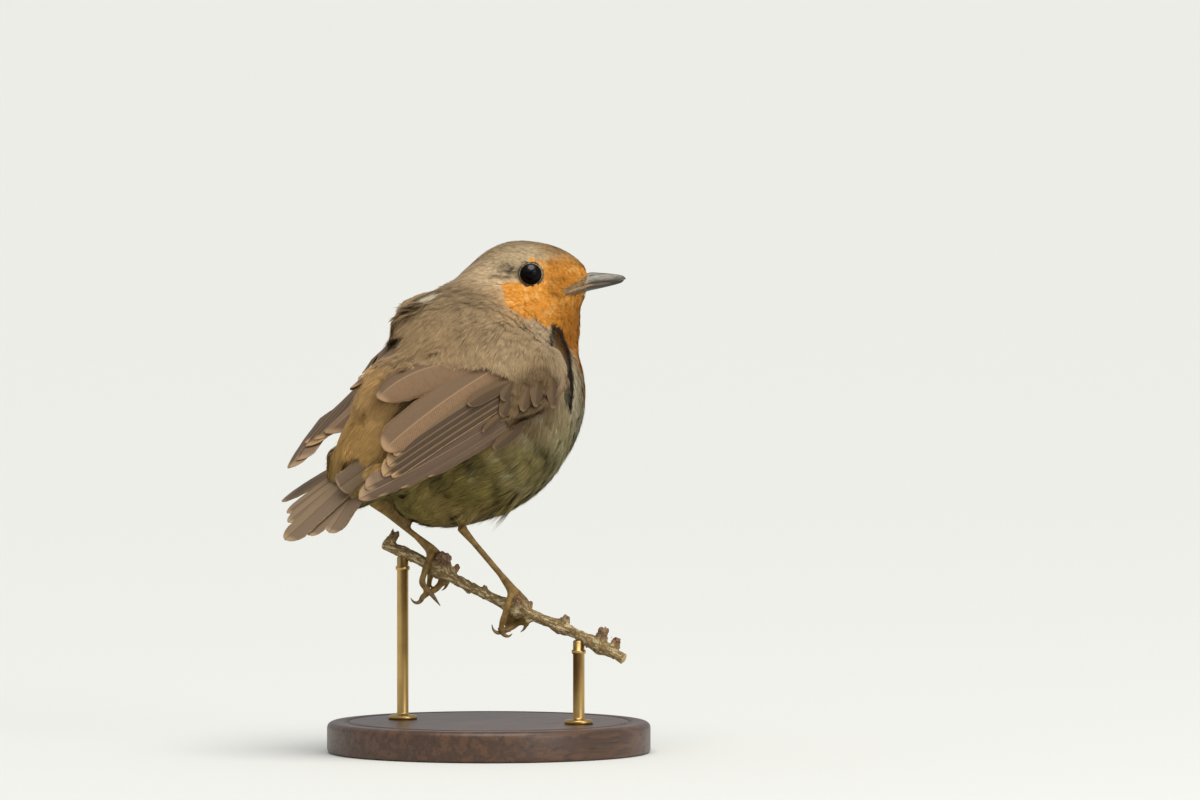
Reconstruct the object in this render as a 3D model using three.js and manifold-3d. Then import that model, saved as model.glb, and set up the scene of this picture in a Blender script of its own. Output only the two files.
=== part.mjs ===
// A life-size European robin perched on a cut length of larch twig, held up by a plain display stand.
// Millimetres, +Z up, origin at the centre of the stand's underside. The trunk faces +X and its left side
// is +Y. The head is turned to the bird's right.
import * as THREE from "three";
import { mergeVertices } from "three/addons/utils/BufferGeometryUtils.js";
import Module from "manifold-3d";

const wasm = await Module();
wasm.setup();

const { degToRad, lerp, clamp, smoothstep } = THREE.MathUtils;
const vec = (x, y, z) => new THREE.Vector3(x, y, z);

// ---------- driving dimensions ----------
const GAP = 0.3; // clearance kept between neighbouring solids
const TRUNK_CENTRE = vec(3, 6, 86); // above the stand's underside
const TRUNK_ROLL = degToRad(10); // the right side hangs a little lower
const HEAD_CENTRE = TRUNK_CENTRE.clone().add(vec(15, -1.5, 34.8));
const HEAD_YAW = degToRad(-47); // turned to the bird's right
const EYE = { forward: 1.9, out: 7.5, up: 3.1, radius: 3.1 }; // from the head's centre
const BILL = { root: 10, base: 17.3, tip: 26.6 }; // ahead of the head's centre
const WING = { length: 71, covertsLength: 40, covertsWidth: 29, covertsHeight: 3.6, featherThickness: 0.75 };
const TAIL = { pitch: degToRad(43), roll: degToRad(22), featherWidth: 7, featherThickness: 0.65 };
// Each tail feather's spread in degrees and its length.
const TAIL_FEATHERS = [[24, 28.3], [16, 29.5], [8, 31], [1, 36], [-5, 33.5], [-11, 31], [-17, 28.3]];
const TARSUS_RADIUS = 1.05;
const TOE_RADIUS = 0.85;
const TOE_ROOT_RADIUS = 1.9; // the space in which the four toes join
const CLAW = { radius: 0.55, tipRadius: 0.16 };
const PERCH = { radius: 1.5, before: 15, after: 34 }; // length past the left foot and past the right foot
const BALL_ABOVE_PERCH = 4;
const BASE = { radius: 42, height: 8, bevel: 1.2 };
const ROD = { radius: 1.5, beforeLeftFoot: 9, pastRightFoot: 20 };

const X = vec(1, 0, 0);
const Y = vec(0, 1, 0);
const Z = vec(0, 0, 1);
const LEFT = 1;
const RIGHT = -1;
const SIDES = [["left", LEFT], ["right", RIGHT]];

// ---------- materials ----------
const finish = (hex, roughness, metalness = 0) =>
  new THREE.MeshStandardMaterial({ color: hex, roughness, metalness });
const MATERIALS = {
  back: finish(0x8a7356, 0.9),
  crown: finish(0xa58a66, 0.9),
  feather: finish(0x77604a, 0.8),
  bill: finish(0x3b3631, 0.45),
  eye: finish(0x120d0b, 0.08),
  leg: finish(0x6e4c27, 0.6),
  claw: finish(0x4a3a22, 0.45),
  bark: finish(0x6a5a42, 0.95),
  wood: finish(0x4b3324, 0.5),
  brass: finish(0xa58a55, 0.35, 1),
};

// ---------- solids ----------
// Moves each vertex of a three.js geometry by place(x, y, z), welds it and makes it a solid that faces out.
function shaped(geometry, place) {
  const position = geometry.getAttribute("position");
  for (let i = 0; i < position.count; i++) {
    const p = place(position.getX(i), position.getY(i), position.getZ(i));
    position.setXYZ(i, p.x, p.y, p.z);
  }
  geometry.deleteAttribute("normal");
  geometry.deleteAttribute("uv");
  const welded = mergeVertices(geometry, 1e-3);
  const vertProperties = new Float32Array(welded.getAttribute("position").array);
  const triVerts = new Uint32Array(welded.index.array);
  const make = () => new wasm.Manifold(new wasm.Mesh({ numProp: 3, vertProperties, triVerts }));
  const solid = make();
  if (solid.volume() >= 0) return solid;
  for (let i = 0; i < triVerts.length; i += 3)
    [triVerts[i + 1], triVerts[i + 2]] = [triVerts[i + 2], triVerts[i + 1]];
  return make();
}

const union = (solids) => solids.reduce((whole, solid) => whole.add(solid));

// The largest body of a solid, without slivers that a cut may leave.
const largest = (solid) => solid.decompose().reduce((a, b) => (a.volume() > b.volume() ? a : b));

const SMOOTHING = 0.05; // how far a surface may move where triangles are saved
function meshOf(name, solid, material) {
  const mesh = largest(largest(solid).simplify(SMOOTHING)).getMesh();
  const geometry = new THREE.BufferGeometry();
  geometry.setAttribute("position", new THREE.BufferAttribute(mesh.vertProperties, 3));
  geometry.setIndex(new THREE.BufferAttribute(mesh.triVerts, 1));
  geometry.computeVertexNormals();
  const made = new THREE.Mesh(geometry, material);
  made.name = name;
  return made;
}

// A round bar along a curve with closed ends, its radius given along the curve's length.
function tube(curve, radiusAt, radial, steps) {
  const frames = curve.computeFrenetFrames(steps);
  return shaped(new THREE.CylinderGeometry(1, 1, 1, radial, steps), (x, y, z) => {
    const i = Math.round((0.5 - y) * steps);
    const r = radiusAt(i / steps);
    return curve.getPointAt(i / steps)
      .addScaledVector(frames.normals[i], r * x)
      .addScaledVector(frames.binormals[i], r * z);
  });
}

const ball = (centre, radius, around, down) =>
  shaped(new THREE.SphereGeometry(radius, around, down), (x, y, z) => vec(x, y, z).add(centre));

// Everything on the far side of a plane, as a box larger than the bird.
const FAR_SIDE = 300;
function beyond(plane, clearance) {
  const normal = plane.normal.clone().normalize();
  const turn = new THREE.Quaternion().setFromUnitVectors(Z, normal);
  const start = plane.point.clone().addScaledVector(normal, clearance);
  return shaped(new THREE.BoxGeometry(FAR_SIDE, FAR_SIDE, FAR_SIDE), (x, y, z) =>
    vec(x, y, z + FAR_SIDE / 2).applyQuaternion(turn).add(start));
}

// ---------- the body as rounded lobes that flow into each other ----------
const rollTurn = new THREE.Quaternion().setFromAxisAngle(X, TRUNK_ROLL);
const headTurn = new THREE.Quaternion().setFromAxisAngle(Z, HEAD_YAW);
const trunkPoint = (x, y, z) => vec(x, y, z).applyQuaternion(rollTurn).add(TRUNK_CENTRE);
const headPoint = (x, y, z) => vec(x, y, z).applyQuaternion(headTurn).add(HEAD_CENTRE);
const nosedUp = (degrees) => new THREE.Quaternion().setFromAxisAngle(Y, degToRad(-degrees));

// The signed distance to an ellipsoid: its centre, half sizes along, across and up, and its turn.
function lobe(centre, halfSizes, turn) {
  const back = turn.clone().invert();
  return (p) => {
    const q = p.clone().sub(centre).applyQuaternion(back).divide(halfSizes);
    const steepness = q.clone().divide(halfSizes).length();
    return steepness > 0 ? (q.length() * (q.length() - 1)) / steepness : -halfSizes.z;
  };
}
const trunkLobe = (x, y, z, along, across, up, pitch) =>
  lobe(trunkPoint(x, y, z), vec(along, across, up), rollTurn.clone().multiply(nosedUp(pitch)));
const headLobe = (x, z, along, across, up, pitch) =>
  lobe(headPoint(x, 0, z), vec(along, across, up), headTurn.clone().multiply(nosedUp(pitch)));

const LOBES = [
  trunkLobe(-0.6, 0, -1.5, 28, 25, 22.8, 40), // belly
  trunkLobe(7, 0, 7, 22.5, 22, 21.5, 70), // breast
  trunkLobe(-13, 0, -15, 14.5, 15, 12.3, 20), // vent
  trunkLobe(-12, 3, 12, 24, 24, 19, 48), // mantle
  trunkLobe(-36, 0, -3, 20, 13, 11, 50), // rump
  trunkLobe(-38, 0, -16, 16, 7, 5.5, 34), // undertail coverts
  lobe(TRUNK_CENTRE.clone().add(vec(5, 1.5, 26.5)), vec(15.5, 15.5, 13), nosedUp(20)), // neck
  headLobe(-0.5, 1.2, 13.8, 9.8, 10.4, 0), // cranium
  headLobe(9, 1.4, 9, 6.4, 6.9, -14), // forehead and lores
  headLobe(3, -8, 13.2, 10, 9.5, -35), // cheeks and throat
];
const BLEND = 4.5; // how softly one lobe flows into the next

function bodyDistance(p) {
  return LOBES.map((distance) => distance(p)).reduce((a, b) => {
    const h = clamp(0.5 + (0.5 * (b - a)) / BLEND, 0, 1);
    return lerp(b, a, h) - BLEND * h * (1 - h);
  });
}

// A ball of directions about a centre, each drawn out to where the body's surface lies, plus a clearance.
const MARCH = 0.6;
const REFINEMENTS = 10;
function bodyFrom(centre, around, down, clearance = 0) {
  return shaped(new THREE.SphereGeometry(1, around, down), (x, y, z) => {
    const at = (distance) => centre.clone().addScaledVector(vec(x, z, y), distance);
    let inside = 0;
    while (bodyDistance(at(inside + MARCH)) < clearance) inside += MARCH;
    let outside = inside + MARCH;
    for (let i = 0; i < REFINEMENTS; i++) {
      const middle = (inside + outside) / 2;
      if (bodyDistance(at(middle)) < clearance) inside = middle;
      else outside = middle;
    }
    return at(outside);
  });
}

// ---------- feathers ----------
// One flight feather on a sheet, which is a function (along, across, height). Its root and tip are
// (along, across).
function vane(sheet, root, tip, width, height, thickness, bluntness = 0.7) {
  const way = new THREE.Vector2(tip[0] - root[0], tip[1] - root[1]);
  const side = new THREE.Vector2(-way.y, way.x).normalize();
  return shaped(new THREE.BoxGeometry(1, 1, 1, 2, 4, 1), (x, y, z) => {
    const t = y + 0.5;
    const rounding = Math.sqrt(1 - 0.93 * clamp((t - bluntness) / (1 - bluntness), 0, 1) ** 2.2);
    const offset = x * width * rounding * lerp(0.5, 1, smoothstep(t, 0, 0.4));
    const camber = 0.04 * width * (1 - 4 * x * x);
    const level = height + camber + (z + 0.5) * thickness;
    return sheet(root[0] + way.x * t + side.x * offset, root[1] + way.y * t + side.y * offset, level);
  });
}

// The folded right wing lies on a sheet from the wrist, in the trunk's own frame before its roll. The sheet
// is crowned, and bends in more towards the breast.
const WRIST = vec(4, -24, 17.7);
const WING_BACK = vec(-0.86, 0.1665, -0.4815).normalize();
const WING_UP = vec(-0.251, 0.68, 0.688).normalize();
const WING_OUT = new THREE.Vector3().crossVectors(WING_UP, WING_BACK).normalize();
const CROWN = { along: 22, across: 8, height: 2.2, bendAcross: 0.007, bendFront: 0.0065, bendRear: 0.0012 };
const wingSheet = (side) => (along, across, height) => {
  const bend = along < CROWN.along ? CROWN.bendFront : CROWN.bendRear;
  const fall = CROWN.bendAcross * (across - CROWN.across) ** 2 + bend * (along - CROWN.along) ** 2;
  const crown = CROWN.height - fall;
  const p = WRIST.clone()
    .addScaledVector(WING_BACK, along)
    .addScaledVector(WING_UP, across)
    .addScaledVector(WING_OUT, crown + height);
  return trunkPoint(p.x, -side * p.y, p.z);
};

// The hollow that each folded wing lies in, with a clearance taken off all round.
function wingBed(side, clearance = 0) {
  const sheet = wingSheet(side);
  return shaped(new THREE.BoxGeometry(1, 1, 1, 6, 10, 1), (x, y, z) => {
    const along = lerp(-8 + clearance, 68 - clearance, y + 0.5);
    const low = lerp(-11, -8, y + 0.5) + clearance;
    const high = lerp(13, 27, y + 0.5) - clearance;
    return sheet(along, lerp(low, high, x + 0.5), z < 0 ? clearance - GAP : 18);
  });
}

// Tips of the wing's feathers, along and across it. A primary's is counted from the wing's tip.
const PRIMARY_TIPS = [[-3.2, -1.8], [0, 0.6], [-2.5, 2.4], [-6, 3.6]];
const SECONDARY_TIPS = [[61.5, 1.6], [60, 4.4], [57.5, 7]];
const TERTIAL_TIPS = [[57, 10], [51, 15.5], [46, 20.5]];
function primaries(side) {
  const sheet = wingSheet(side);
  return union(PRIMARY_TIPS.map(([shorter, across], i) =>
    vane(sheet, [12, -3.5 + 2 * i], [WING.length + shorter, across], 6.5, 0.12 * i, WING.featherThickness)));
}
function secondaries(side) {
  const sheet = wingSheet(side);
  const flight = SECONDARY_TIPS.map((tip, i) =>
    vane(sheet, [12, 4 + 2.5 * i], tip, 6.5, 1.7 + 0.12 * i, WING.featherThickness));
  const tertials = TERTIAL_TIPS.map((tip, i) =>
    vane(sheet, [12, 10.5 + 2.5 * i], tip, 8, 2.15 + 0.2 * i, WING.featherThickness, 0.6));
  return union([...flight, ...tertials]);
}
// The coverts and scapulars as one low cushion over the roots of the flight feathers.
function coverts(side, clearance = 0) {
  const sheet = wingSheet(side);
  const middle = { along: 17, across: 8, height: 0.6, slant: 0.12 };
  const depth = 0.5; // below the middle
  return shaped(new THREE.SphereGeometry(1, 16, 9), (x, y, z) => {
    const along = middle.along + (WING.covertsLength / 2 + clearance) * x;
    const slant = middle.slant * (along - middle.along);
    const across = middle.across + slant + (WING.covertsWidth / 2 + clearance) * z;
    return sheet(along, across, middle.height + y * ((y > 0 ? WING.covertsHeight : depth) + clearance));
  });
}

// The tail lies on a sheet of its own, from inside the rump.
const TAIL_ROOT = TRUNK_CENTRE.clone().add(vec(-37.8, 0, -8.4));
const tailTurn = new THREE.Quaternion().setFromAxisAngle(X, TAIL.roll);
function tailSheet(along, across, height) {
  const level = height - 0.02 * across ** 2;
  return vec(
    -along * Math.cos(TAIL.pitch) - level * Math.sin(TAIL.pitch),
    across,
    -along * Math.sin(TAIL.pitch) + level * Math.cos(TAIL.pitch),
  ).applyQuaternion(tailTurn).add(TAIL_ROOT);
}
const tail = () => union(TAIL_FEATHERS.map(([degrees, length], i) => {
  const tip = [length * Math.cos(degToRad(degrees)), length * Math.sin(degToRad(degrees))];
  return vane(tailSheet, [0, 0.05 * degrees], tip, TAIL.featherWidth, 0.12 * i, TAIL.featherThickness, 0.75);
}));

// ---------- bill and eyes ----------
const billRest = (x) => clamp((BILL.tip - x) / (BILL.tip - BILL.base), 0, 1);
const mouthLine = (x) => lerp(-1.6, 1.9, (x - BILL.root) / (BILL.tip - BILL.root));
const billHalfWidth = (x) => 0.25 + 2.3 * billRest(x) ** 0.85;
const culmenHeight = (x) => 0.2 + 2.9 * billRest(x) ** 0.6;
const gonysDepth = (x) => 0.15 + 1.8 * billRest(x) ** 0.7;

// A half of the bill: flat along the mouth, rounded away from it by its height.
function mandible(up, heightAt, tip) {
  return shaped(new THREE.CylinderGeometry(1, 1, 1, 12, 7), (a, y, b) => {
    const x = lerp(BILL.root, tip, 0.5 - y);
    const rise = up * b > 0 ? Math.abs(b) * heightAt(x) : 0;
    return headPoint(x, billHalfWidth(x) * a, mouthLine(x) + up * (GAP / 2 + rise));
  });
}
const eyeCentre = (side) => headPoint(EYE.forward, side * EYE.out, EYE.up);

// ---------- legs, feet and perch ----------
const inTrunk = (x, y, z) => TRUNK_CENTRE.clone().add(vec(x, y, z));
const LEGS = {
  left: { hip: inTrunk(-12, 9, -8), ankle: inTrunk(-27.1, 13, -20.6), ball: inTrunk(-9.5, 8.2, -33.9) },
  right: { hip: inTrunk(-9, -9, -12), ankle: inTrunk(-16.8, -9, -26.8), ball: inTrunk(-1.3, -13.2, -44.1) },
};
const perchUnder = (leg) => leg.ball.clone().addScaledVector(Z, -BALL_ABOVE_PERCH);
const PERCH_WAY = perchUnder(LEGS.right).sub(perchUnder(LEGS.left));
const FEET_APART = PERCH_WAY.length();
PERCH_WAY.normalize();
const perchPoint = (distance, sag = 0) =>
  perchUnder(LEGS.left).addScaledVector(PERCH_WAY, distance).addScaledVector(Z, sag);

const PERCH_CURVE = new THREE.CatmullRomCurve3([
  perchPoint(-PERCH.before, -0.6),
  perchPoint(-5),
  perchPoint(FEET_APART / 2, -0.4),
  perchPoint(FEET_APART, 0),
  perchPoint(FEET_APART + 12, 0.9),
  perchPoint(FEET_APART + 24, 1.3),
  perchPoint(FEET_APART + PERCH.after, 1),
]);
// Short shoots swell the twig: where each lies from the left foot, how much it adds and how long it is.
const KNOTS = [
  [-9, 0.3, 2],
  [1.5, 1.2, 2.6],
  [FEET_APART + 1, 1.2, 2.6],
  [FEET_APART + 14, 0.7, 2],
  [FEET_APART + 26, 1, 2.3],
];
function perchRadius(t) {
  const distance = lerp(-PERCH.before, FEET_APART + PERCH.after, t);
  const swell = ([at, size, reach]) => size * Math.exp(-(((distance - at) / reach) ** 2));
  return PERCH.radius + KNOTS.reduce((sum, knot) => sum + swell(knot), 0);
}
const perchBar = (clearance) => tube(PERCH_CURVE, (t) => perchRadius(t) + clearance, 9, 30);

// Toes wrap the perch. Directions from its axis: up, and forward over it.
const TOE_FORWARD = X.clone().addScaledVector(PERCH_WAY, -X.dot(PERCH_WAY)).normalize();
const TOE_UP = new THREE.Vector3().crossVectors(TOE_FORWARD, PERCH_WAY).normalize();
if (TOE_UP.z < 0) TOE_UP.negate();

// Each toe turns round the perch from one angle to another, moves off its axis, and spreads along it.
const TOES = {
  inner: { turn: [14, 150], away: [3.9, 5.6], spread: [0.8, 3.6], claw: [205, 7.6] },
  middle: { turn: [10, 172], away: [3.9, 6.8], spread: [0, 0.6], claw: [222, 8.8] },
  outer: { turn: [14, 155], away: [3.9, 5.8], spread: [-0.8, -3.4], claw: [208, 7.8] },
  hind: { turn: [-3, -150], away: [3.9, 5], spread: [0, 2.2], claw: [-196, 8.6] },
};
const around = (leg, degrees, away, spread) => perchUnder(leg)
  .addScaledVector(TOE_UP, away * Math.cos(degToRad(degrees)))
  .addScaledVector(TOE_FORWARD, away * Math.sin(degToRad(degrees)))
  .addScaledVector(PERCH_WAY, spread);

const TOE_POINTS = 7;
function toeCurve(leg, spec) {
  return new THREE.CatmullRomCurve3(Array.from({ length: TOE_POINTS }, (_, i) => {
    const t = i / (TOE_POINTS - 1);
    return around(leg, lerp(...spec.turn, t), lerp(...spec.away, t ** 2), lerp(...spec.spread, t));
  }));
}
const toeRadius = (t) => TOE_RADIUS * (1 - 0.2 * t - 0.15 * smoothstep(t, 0.9, 1));
const toe = (leg, spec) => tube(toeCurve(leg, spec), toeRadius, 6, 7);

function claw(leg, spec) {
  const toeEnd = toeCurve(leg, spec);
  const start = toeEnd.getPointAt(1).addScaledVector(toeEnd.getTangentAt(1), GAP);
  const [degrees, away] = spec.claw;
  const tip = around(leg, degrees, away, spec.spread[1]);
  const bend = start.clone().addScaledVector(toeEnd.getTangentAt(1), start.distanceTo(tip) * 0.5);
  const curve = new THREE.QuadraticBezierCurve3(start, bend, tip);
  return tube(curve, (t) => lerp(CLAW.radius, CLAW.tipRadius, t), 5, 4);
}

function tarsus(leg, clearance = 0) {
  const line = new THREE.LineCurve3(leg.ankle, leg.ball.clone().addScaledVector(Z, 0.6));
  const swell = (t) => 0.5 * (1 - smoothstep(t, 0.05, 0.2)) + 0.35 * smoothstep(t, 0.8, 1);
  return tube(line, (t) => TARSUS_RADIUS + swell(t) + clearance, 9, 8);
}
function thigh(leg) {
  const away = leg.hip.clone().sub(leg.ankle).normalize();
  const line = new THREE.LineCurve3(leg.hip, leg.ankle.clone().addScaledVector(away, 2 * GAP));
  return tube(line, (t) => lerp(7.5, 1.9, t ** 0.8), 12, 6);
}

// ---------- stand ----------
const standBase = () => shaped(
  new THREE.LatheGeometry([
    new THREE.Vector2(0, 0),
    new THREE.Vector2(BASE.radius, 0),
    new THREE.Vector2(BASE.radius, BASE.height - BASE.bevel),
    new THREE.Vector2(BASE.radius - BASE.bevel, BASE.height),
    new THREE.Vector2(0, BASE.height),
  ], 36),
  (x, y, z) => vec(x, -z, y),
);
function rod(distance) {
  const top = perchPoint(distance);
  const bottom = BASE.height + GAP;
  return shaped(new THREE.CylinderGeometry(ROD.radius, ROD.radius, 1, 16, 1), (x, y, z) =>
    vec(top.x + x, top.y - z, lerp(bottom, top.z, y + 0.5))).subtract(perchBar(GAP));
}

// ---------- the model ----------
const group = new THREE.Group();
const add = (name, solid, material) => group.add(meshOf(name, solid, material));

const SKULL_MIDDLE = HEAD_CENTRE.clone().add(vec(1, -1, -1));
const NECK_MIDDLE = TRUNK_CENTRE.clone().add(vec(7, -1, 25));
const NECK_FOOT = { point: TRUNK_CENTRE.clone().add(vec(4, 0, 19)), normal: vec(0, 0.05, 1) };
const HEAD_FOOT = { point: HEAD_CENTRE.clone().add(vec(0, 0, -7)), normal: vec(0.25, -0.27, 0.93) };

const beds = union([wingBed(LEFT), wingBed(RIGHT)]);
const bodyAndGap = bodyFrom(TRUNK_CENTRE, 32, 22, GAP);
const headAndGap = bodyFrom(SKULL_MIDDLE, 26, 18, GAP);
const socket = (side) => ball(eyeCentre(side), EYE.radius + GAP, 14, 9);

add("head", bodyFrom(SKULL_MIDDLE, 26, 18)
  .intersect(beyond(HEAD_FOOT, GAP)).subtract(socket(LEFT)).subtract(socket(RIGHT)), MATERIALS.crown);
add("neck", bodyFrom(NECK_MIDDLE, 26, 16)
  .intersect(beyond(NECK_FOOT, GAP)).subtract(beyond(HEAD_FOOT, 0)).subtract(beds), MATERIALS.back);
add("trunk", bodyFrom(TRUNK_CENTRE, 32, 22).subtract(beyond(NECK_FOOT, 0)).subtract(beds), MATERIALS.back);
add("bill_upper", mandible(1, culmenHeight, BILL.tip).subtract(headAndGap), MATERIALS.bill);
add("bill_lower", mandible(-1, gonysDepth, BILL.tip - 0.5).subtract(headAndGap), MATERIALS.bill);
add("tail", tail().subtract(bodyAndGap), MATERIALS.feather);
for (const [name, side] of SIDES) {
  const leg = LEGS[name];
  add(`eye_${name}`, ball(eyeCentre(side), EYE.radius, 12, 8), MATERIALS.eye);
  const outsideWing = bodyAndGap.subtract(wingBed(side, GAP));
  const overFeathers = union([coverts(side, GAP), outsideWing]);
  add(`wing_${name}_primaries`, primaries(side).subtract(overFeathers), MATERIALS.feather);
  add(`wing_${name}_secondaries`, secondaries(side).subtract(overFeathers), MATERIALS.feather);
  add(`wing_${name}_coverts`, coverts(side).subtract(outsideWing), MATERIALS.back);
  add(`thigh_${name}`, thigh(leg).subtract(bodyAndGap).subtract(tarsus(leg, GAP)), MATERIALS.back);
  const toes = union(Object.values(TOES).map((spec) => toe(leg, spec)));
  add(`foot_${name}`, toes.subtract(perchBar(GAP)), MATERIALS.leg);
  const toeRoots = ball(leg.ball, TOE_ROOT_RADIUS, 12, 8);
  add(`tarsus_${name}`, tarsus(leg).subtract(toeRoots).subtract(bodyAndGap), MATERIALS.leg);
  for (const [toeName, spec] of Object.entries(TOES))
    add(`claw_${name}_${toeName}`, claw(leg, spec), MATERIALS.claw);
}
add("perch", perchBar(0), MATERIALS.bark);
add("stand_rod_1", rod(-ROD.beforeLeftFoot), MATERIALS.brass);
add("stand_rod_2", rod(FEET_APART + ROD.pastRightFoot), MATERIALS.brass);
add("stand_base", standBase(), MATERIALS.wood);

export default group;
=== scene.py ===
"""A life-size European robin on a cut length of larch twig, on a plain display stand.

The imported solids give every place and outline. Over them come one skin, a coat of feather tufts, the
flight feathers as single vanes, the bill, eyes, claws, bark and stand. Shapes are worked out in
millimetres and become metres as a piece is made.
"""

import math

import bmesh
import bpy
import numpy as np
from mathutils import Matrix, Vector
from mathutils.bvhtree import BVHTree


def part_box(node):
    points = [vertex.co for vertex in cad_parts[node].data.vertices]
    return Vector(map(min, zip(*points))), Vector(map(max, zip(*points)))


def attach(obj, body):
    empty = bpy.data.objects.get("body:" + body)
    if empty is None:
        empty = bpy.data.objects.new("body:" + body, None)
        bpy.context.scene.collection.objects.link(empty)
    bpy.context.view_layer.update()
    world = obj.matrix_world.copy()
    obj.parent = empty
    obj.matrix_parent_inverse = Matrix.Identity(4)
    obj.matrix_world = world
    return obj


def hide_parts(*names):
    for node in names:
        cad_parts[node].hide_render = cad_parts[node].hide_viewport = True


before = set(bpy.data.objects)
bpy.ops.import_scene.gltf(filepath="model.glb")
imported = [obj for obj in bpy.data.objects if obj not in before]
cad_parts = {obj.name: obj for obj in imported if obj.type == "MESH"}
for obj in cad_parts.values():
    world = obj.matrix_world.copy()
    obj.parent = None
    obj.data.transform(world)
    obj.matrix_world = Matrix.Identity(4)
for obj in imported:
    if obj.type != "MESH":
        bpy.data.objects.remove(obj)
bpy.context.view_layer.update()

MM = 0.001
SIDES = {"left": 1, "right": -1}
FULL_TURN = 6.283  # of a wave in a finish


# ---------- where things are ----------
def corners(node):
    """A node's lowest and highest corner, in millimetres."""
    return [np.array(corner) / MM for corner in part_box(node)]


def middle(node):
    return sum(corners(node)) / 2


def turned(axis, degrees):
    return np.array(Matrix.Rotation(math.radians(degrees), 3, axis))


def round_angles(count):
    """That many angles, evenly round a circle."""
    return np.linspace(0, 2 * math.pi, count + 1)[:-1]


def unit(vectors):
    vectors = np.asarray(vectors, float)
    return vectors / np.maximum(np.linalg.norm(vectors, axis=-1, keepdims=True), 1e-9)


class Place:
    """A turned set of axes with its own middle, such as the head's or the trunk's."""

    def __init__(self, centre, turn):
        self.centre, self.turn = centre, turn

    def out(self, points):
        """Points of this place, in the model's own frame."""
        return np.asarray(points, float) @ self.turn.T + self.centre

    def into(self, points):
        return (np.asarray(points, float) - self.centre) @ self.turn


BASE_HIGH = corners("stand_base")[1]
TRUNK = Place(np.array((3.0, 6.0, BASE_HIGH[2] + 78)), turned("X", 10))
EYE_FORWARD, EYE_OUT, EYE_UP, EYE_RADIUS = 1.9, 7.5, 3.1, 3.2
EYE_RIM = 3.15  # how near an eye's middle a feather may have its root
EYES_APART = middle("eye_left") - middle("eye_right")
HEAD_TURN = turned("Z", math.degrees(math.atan2(-EYES_APART[0], EYES_APART[1])))
EYES_MIDDLE = (middle("eye_left") + middle("eye_right")) / 2
HEAD = Place(EYES_MIDDLE - HEAD_TURN @ (EYE_FORWARD, 0, EYE_UP), HEAD_TURN)


# ---------- finishes ----------
def tint(red, green, blue):
    """A colour as seen on a screen, 0 to 255, as the light it gives back."""
    share = np.array((red, green, blue)) / 255
    return np.where(share <= 0.04045, share / 12.92, ((share + 0.055) / 1.055) ** 2.4)


class Wire:
    """A shader socket that takes part in Python's own arithmetic."""

    def __init__(self, finish, socket):
        self.finish, self.socket = finish, socket

    def _math(self, operation, *values):
        return self.finish.node("ShaderNodeMath", {"operation": operation}, dict(enumerate(values)))

    def __add__(self, other):
        return self._math("ADD", self, other)

    def __sub__(self, other):
        return self._math("SUBTRACT", self, other)

    def __mul__(self, other):
        return self._math("MULTIPLY", self, other)

    def __truediv__(self, other):
        return self._math("DIVIDE", self, other)

    def __pow__(self, other):
        return self._math("POWER", self, other)

    def __rsub__(self, other):
        return self._math("SUBTRACT", other, self)

    __radd__ = __add__
    __rmul__ = __mul__

    def size(self):
        return self._math("ABSOLUTE", self)

    def part(self):
        """What is left of the number after its whole steps."""
        return self._math("FRACT", self)

    def wave(self):
        return self._math("SINE", self)

    def ease(self, low, high):
        """0 up to low, 1 from high, and smooth between them."""
        made = self.finish.node(
            "ShaderNodeMapRange",
            {"interpolation_type": "SMOOTHSTEP"},
            {"Value": self, "From Min": low, "From Max": high},
        )
        return made


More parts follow.
